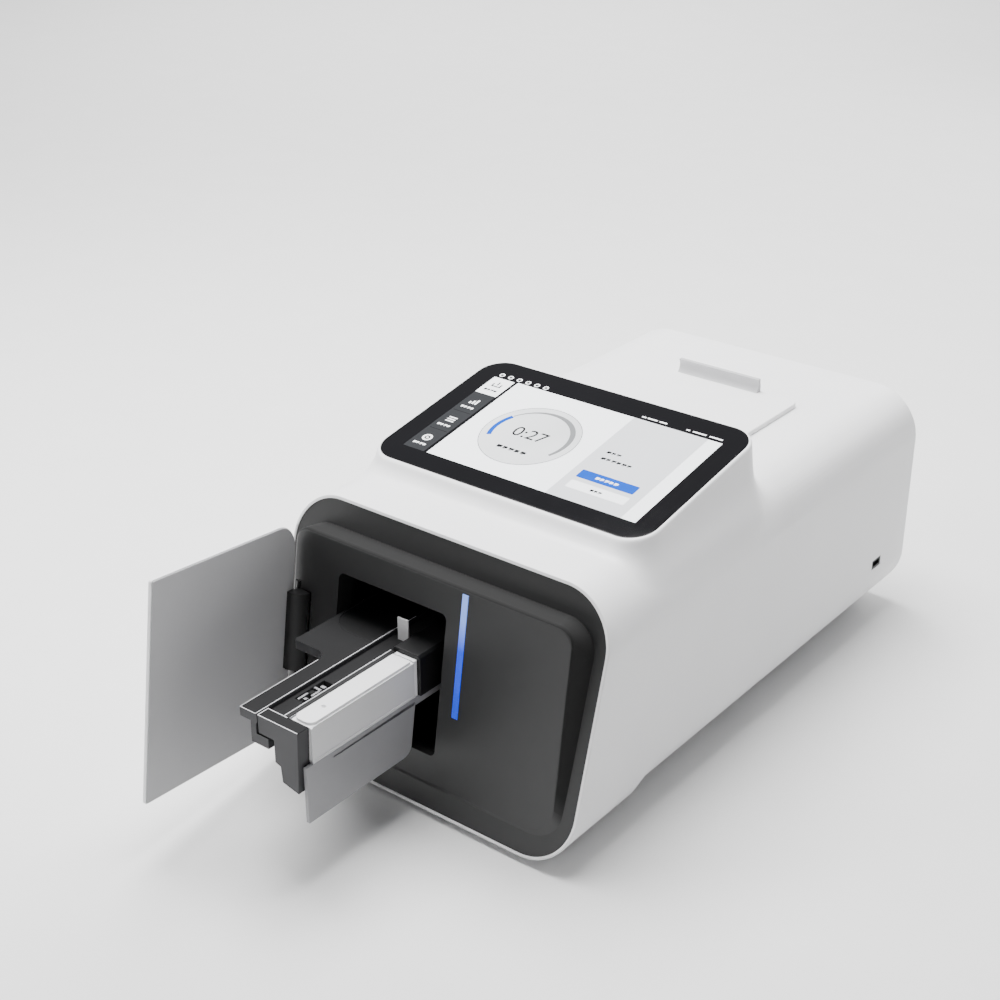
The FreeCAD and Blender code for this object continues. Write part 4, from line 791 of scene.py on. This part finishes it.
def make_drawer_details():
    """Light bars as painted highlights along the drawer's edges, a black bar as painted shade in the slit
    beside the cartridge, and the small steel parts of the latch.
    """
    top, rise = TRAY_TOP, TRAY_TOP + PAINTED_BAR_RISE
    front, back = DRAWER_FRONT, BLOCK_FRONT
    # painted highlights along the drawer's edges
    highlight_bars = [((-34.6, front + 0.3, top), (-33.9, 55.0, top + 0.4)),
             ((-16.9, front + 11.2, 126.6), (-16.1, back, top + 0.45)),
             ((-32.0, front + 0.2, top), (6.2, front + 0.9, rise)),
             ((-32.2, front + 10.2, top), (-13.0, front + 10.9, rise)),
             ((-32.2, front + 0.9, top), (-31.5, front + 10.2, rise)),
             ((-49.4, front + 0.2, top), (-34.6, front + 0.8, rise)),
             ((-49.5, front + 0.8, top), (-48.9, -37.0, rise))]
    boxes("drawer_painted_highlights", highlight_bars, painted_highlight, "drawer")
    works = [((-28.2, -80.5, 123.0), (-26.4, -70.5, 126.4)), ((-24.0, -79.0, 122.5), (-21.2, -76.4, 127.2)),
             ((-28.5, -63.5, 122.5), (-22.0, -61.6, 126.8)), ((-25.6, -60.0, 122.5), (-21.4, -57.2, 127.0)),
             ((-22.6, -72.6, 122.5), (-20.6, -64.4, 127.4))]
    boxes("latch_works", works, steel, "drawer")
    # painted shade: a black bar where the slit between the frame and the cartridge lies in shadow
    slit_shade_bar = [((-16.0, front + 11.2, top - 0.1), (-12.3, back, rise))]
    boxes("painted_slit_band", slit_shade_bar, black, "drawer")


def make_cover_dimple():
    """A small ring in the top of the cartridge's cover."""
    low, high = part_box("cartridge_cover")
    centre = ((low[0] + high[0]) / 2 / MM, low[1] / MM - SHIFT_Y + DIMPLE_BACK)
    sunk, proud = (high[2] / MM + rise for rise in DIMPLE_RISE)
    bm = bmesh.new()
    band(bm, centre, flat(DIMPLE_R[0]), flat(DIMPLE_R[1]), 0.0, 360.0, sunk, proud, 24)
    mesh = place_mesh(bm, "cover_dimple", LEVEL)
    add_piece("cover_dimple", mesh, tab_grey, "drawer")


for node, width in SOFT_EDGES.items():
    soft_edges(node, width)
make_drawer_details()
make_cover_dimple()


# Stage, light and camera

FLOOR_REACH = 4.0
WORLD_STRENGTH = 0.30
CAMERA_PLACE = (706.449, -781.478, 778.739)      # fitted to the photograph's view
CAMERA_TILT, CAMERA_TURN = 63.7216, 38.2513
CAMERA_LENS = 60.80


def area_light(name, place, target, size, power):
    """A white light of the size given, turned towards its target."""
    data = bpy.data.lights.new(name, "AREA")
    data.shape = "RECTANGLE"
    data.size, data.size_y = size
    data.energy = power
    lamp = bpy.data.objects.new(name, data)
    lamp.location = place
    aim = Vector(target) - Vector(place)
    lamp.rotation_euler = aim.to_track_quat("-Z", "Y").to_euler()
    bpy.context.collection.objects.link(lamp)
    return lamp


def make_floor():
    """A plain pale floor."""
    mesh = bpy.data.meshes.new("floor")
    reach = FLOOR_REACH
    mesh.from_pydata([(-reach, -reach, 0), (reach, -reach, 0), (reach, reach, 0), (-reach, reach, 0)],
                     [], [(0, 1, 2, 3)])
    floor = bpy.data.objects.new("floor", mesh)
    bpy.context.collection.objects.link(floor)
    pale = surface("pale_floor", (0.79, 0.79, 0.79), 0.01, (0.6, 0.7), grain=40.0, bump=0.0)
    mesh.materials.append(pale)


make_floor()
area_light("overhead", (-0.35, 0.2, 1.7), (-0.05, 0.1, 0.1), (1.1, 1.3), 92.0)
area_light("front_left", (-1.5, -1.0, 1.1), (0, -0.1, 0.1), (1.1, 1.1), 30.0)
area_light("rear_glow", (0.2, 2.2, 1.0), (0, 0.2, 0.1), (1.4, 0.8), 20.0)
far_light = area_light("far_floor", (-1.9, 2.6, 1.9), (-2.1, 2.8, 0.0), (3.0, 2.4), 150.0)
far_light.visible_glossy = False                  # kept out of the glass

world = bpy.data.worlds.new("studio")
world.use_nodes = True
world.node_tree.nodes["Background"].inputs["Color"].default_value = (1.0, 1.0, 1.0, 1.0)
world.node_tree.nodes["Background"].inputs["Strength"].default_value = WORLD_STRENGTH
bpy.context.scene.world = world

camera_data = bpy.data.cameras.new("camera")
camera_data.sensor_width = 36.0
camera_data.lens = CAMERA_LENS
camera = bpy.data.objects.new("camera", camera_data)
camera.location = at(*CAMERA_PLACE)
camera.rotation_euler = (math.radians(CAMERA_TILT), 0.0, math.radians(CAMERA_TURN))
bpy.context.collection.objects.link(camera)
bpy.context.scene.camera = camera
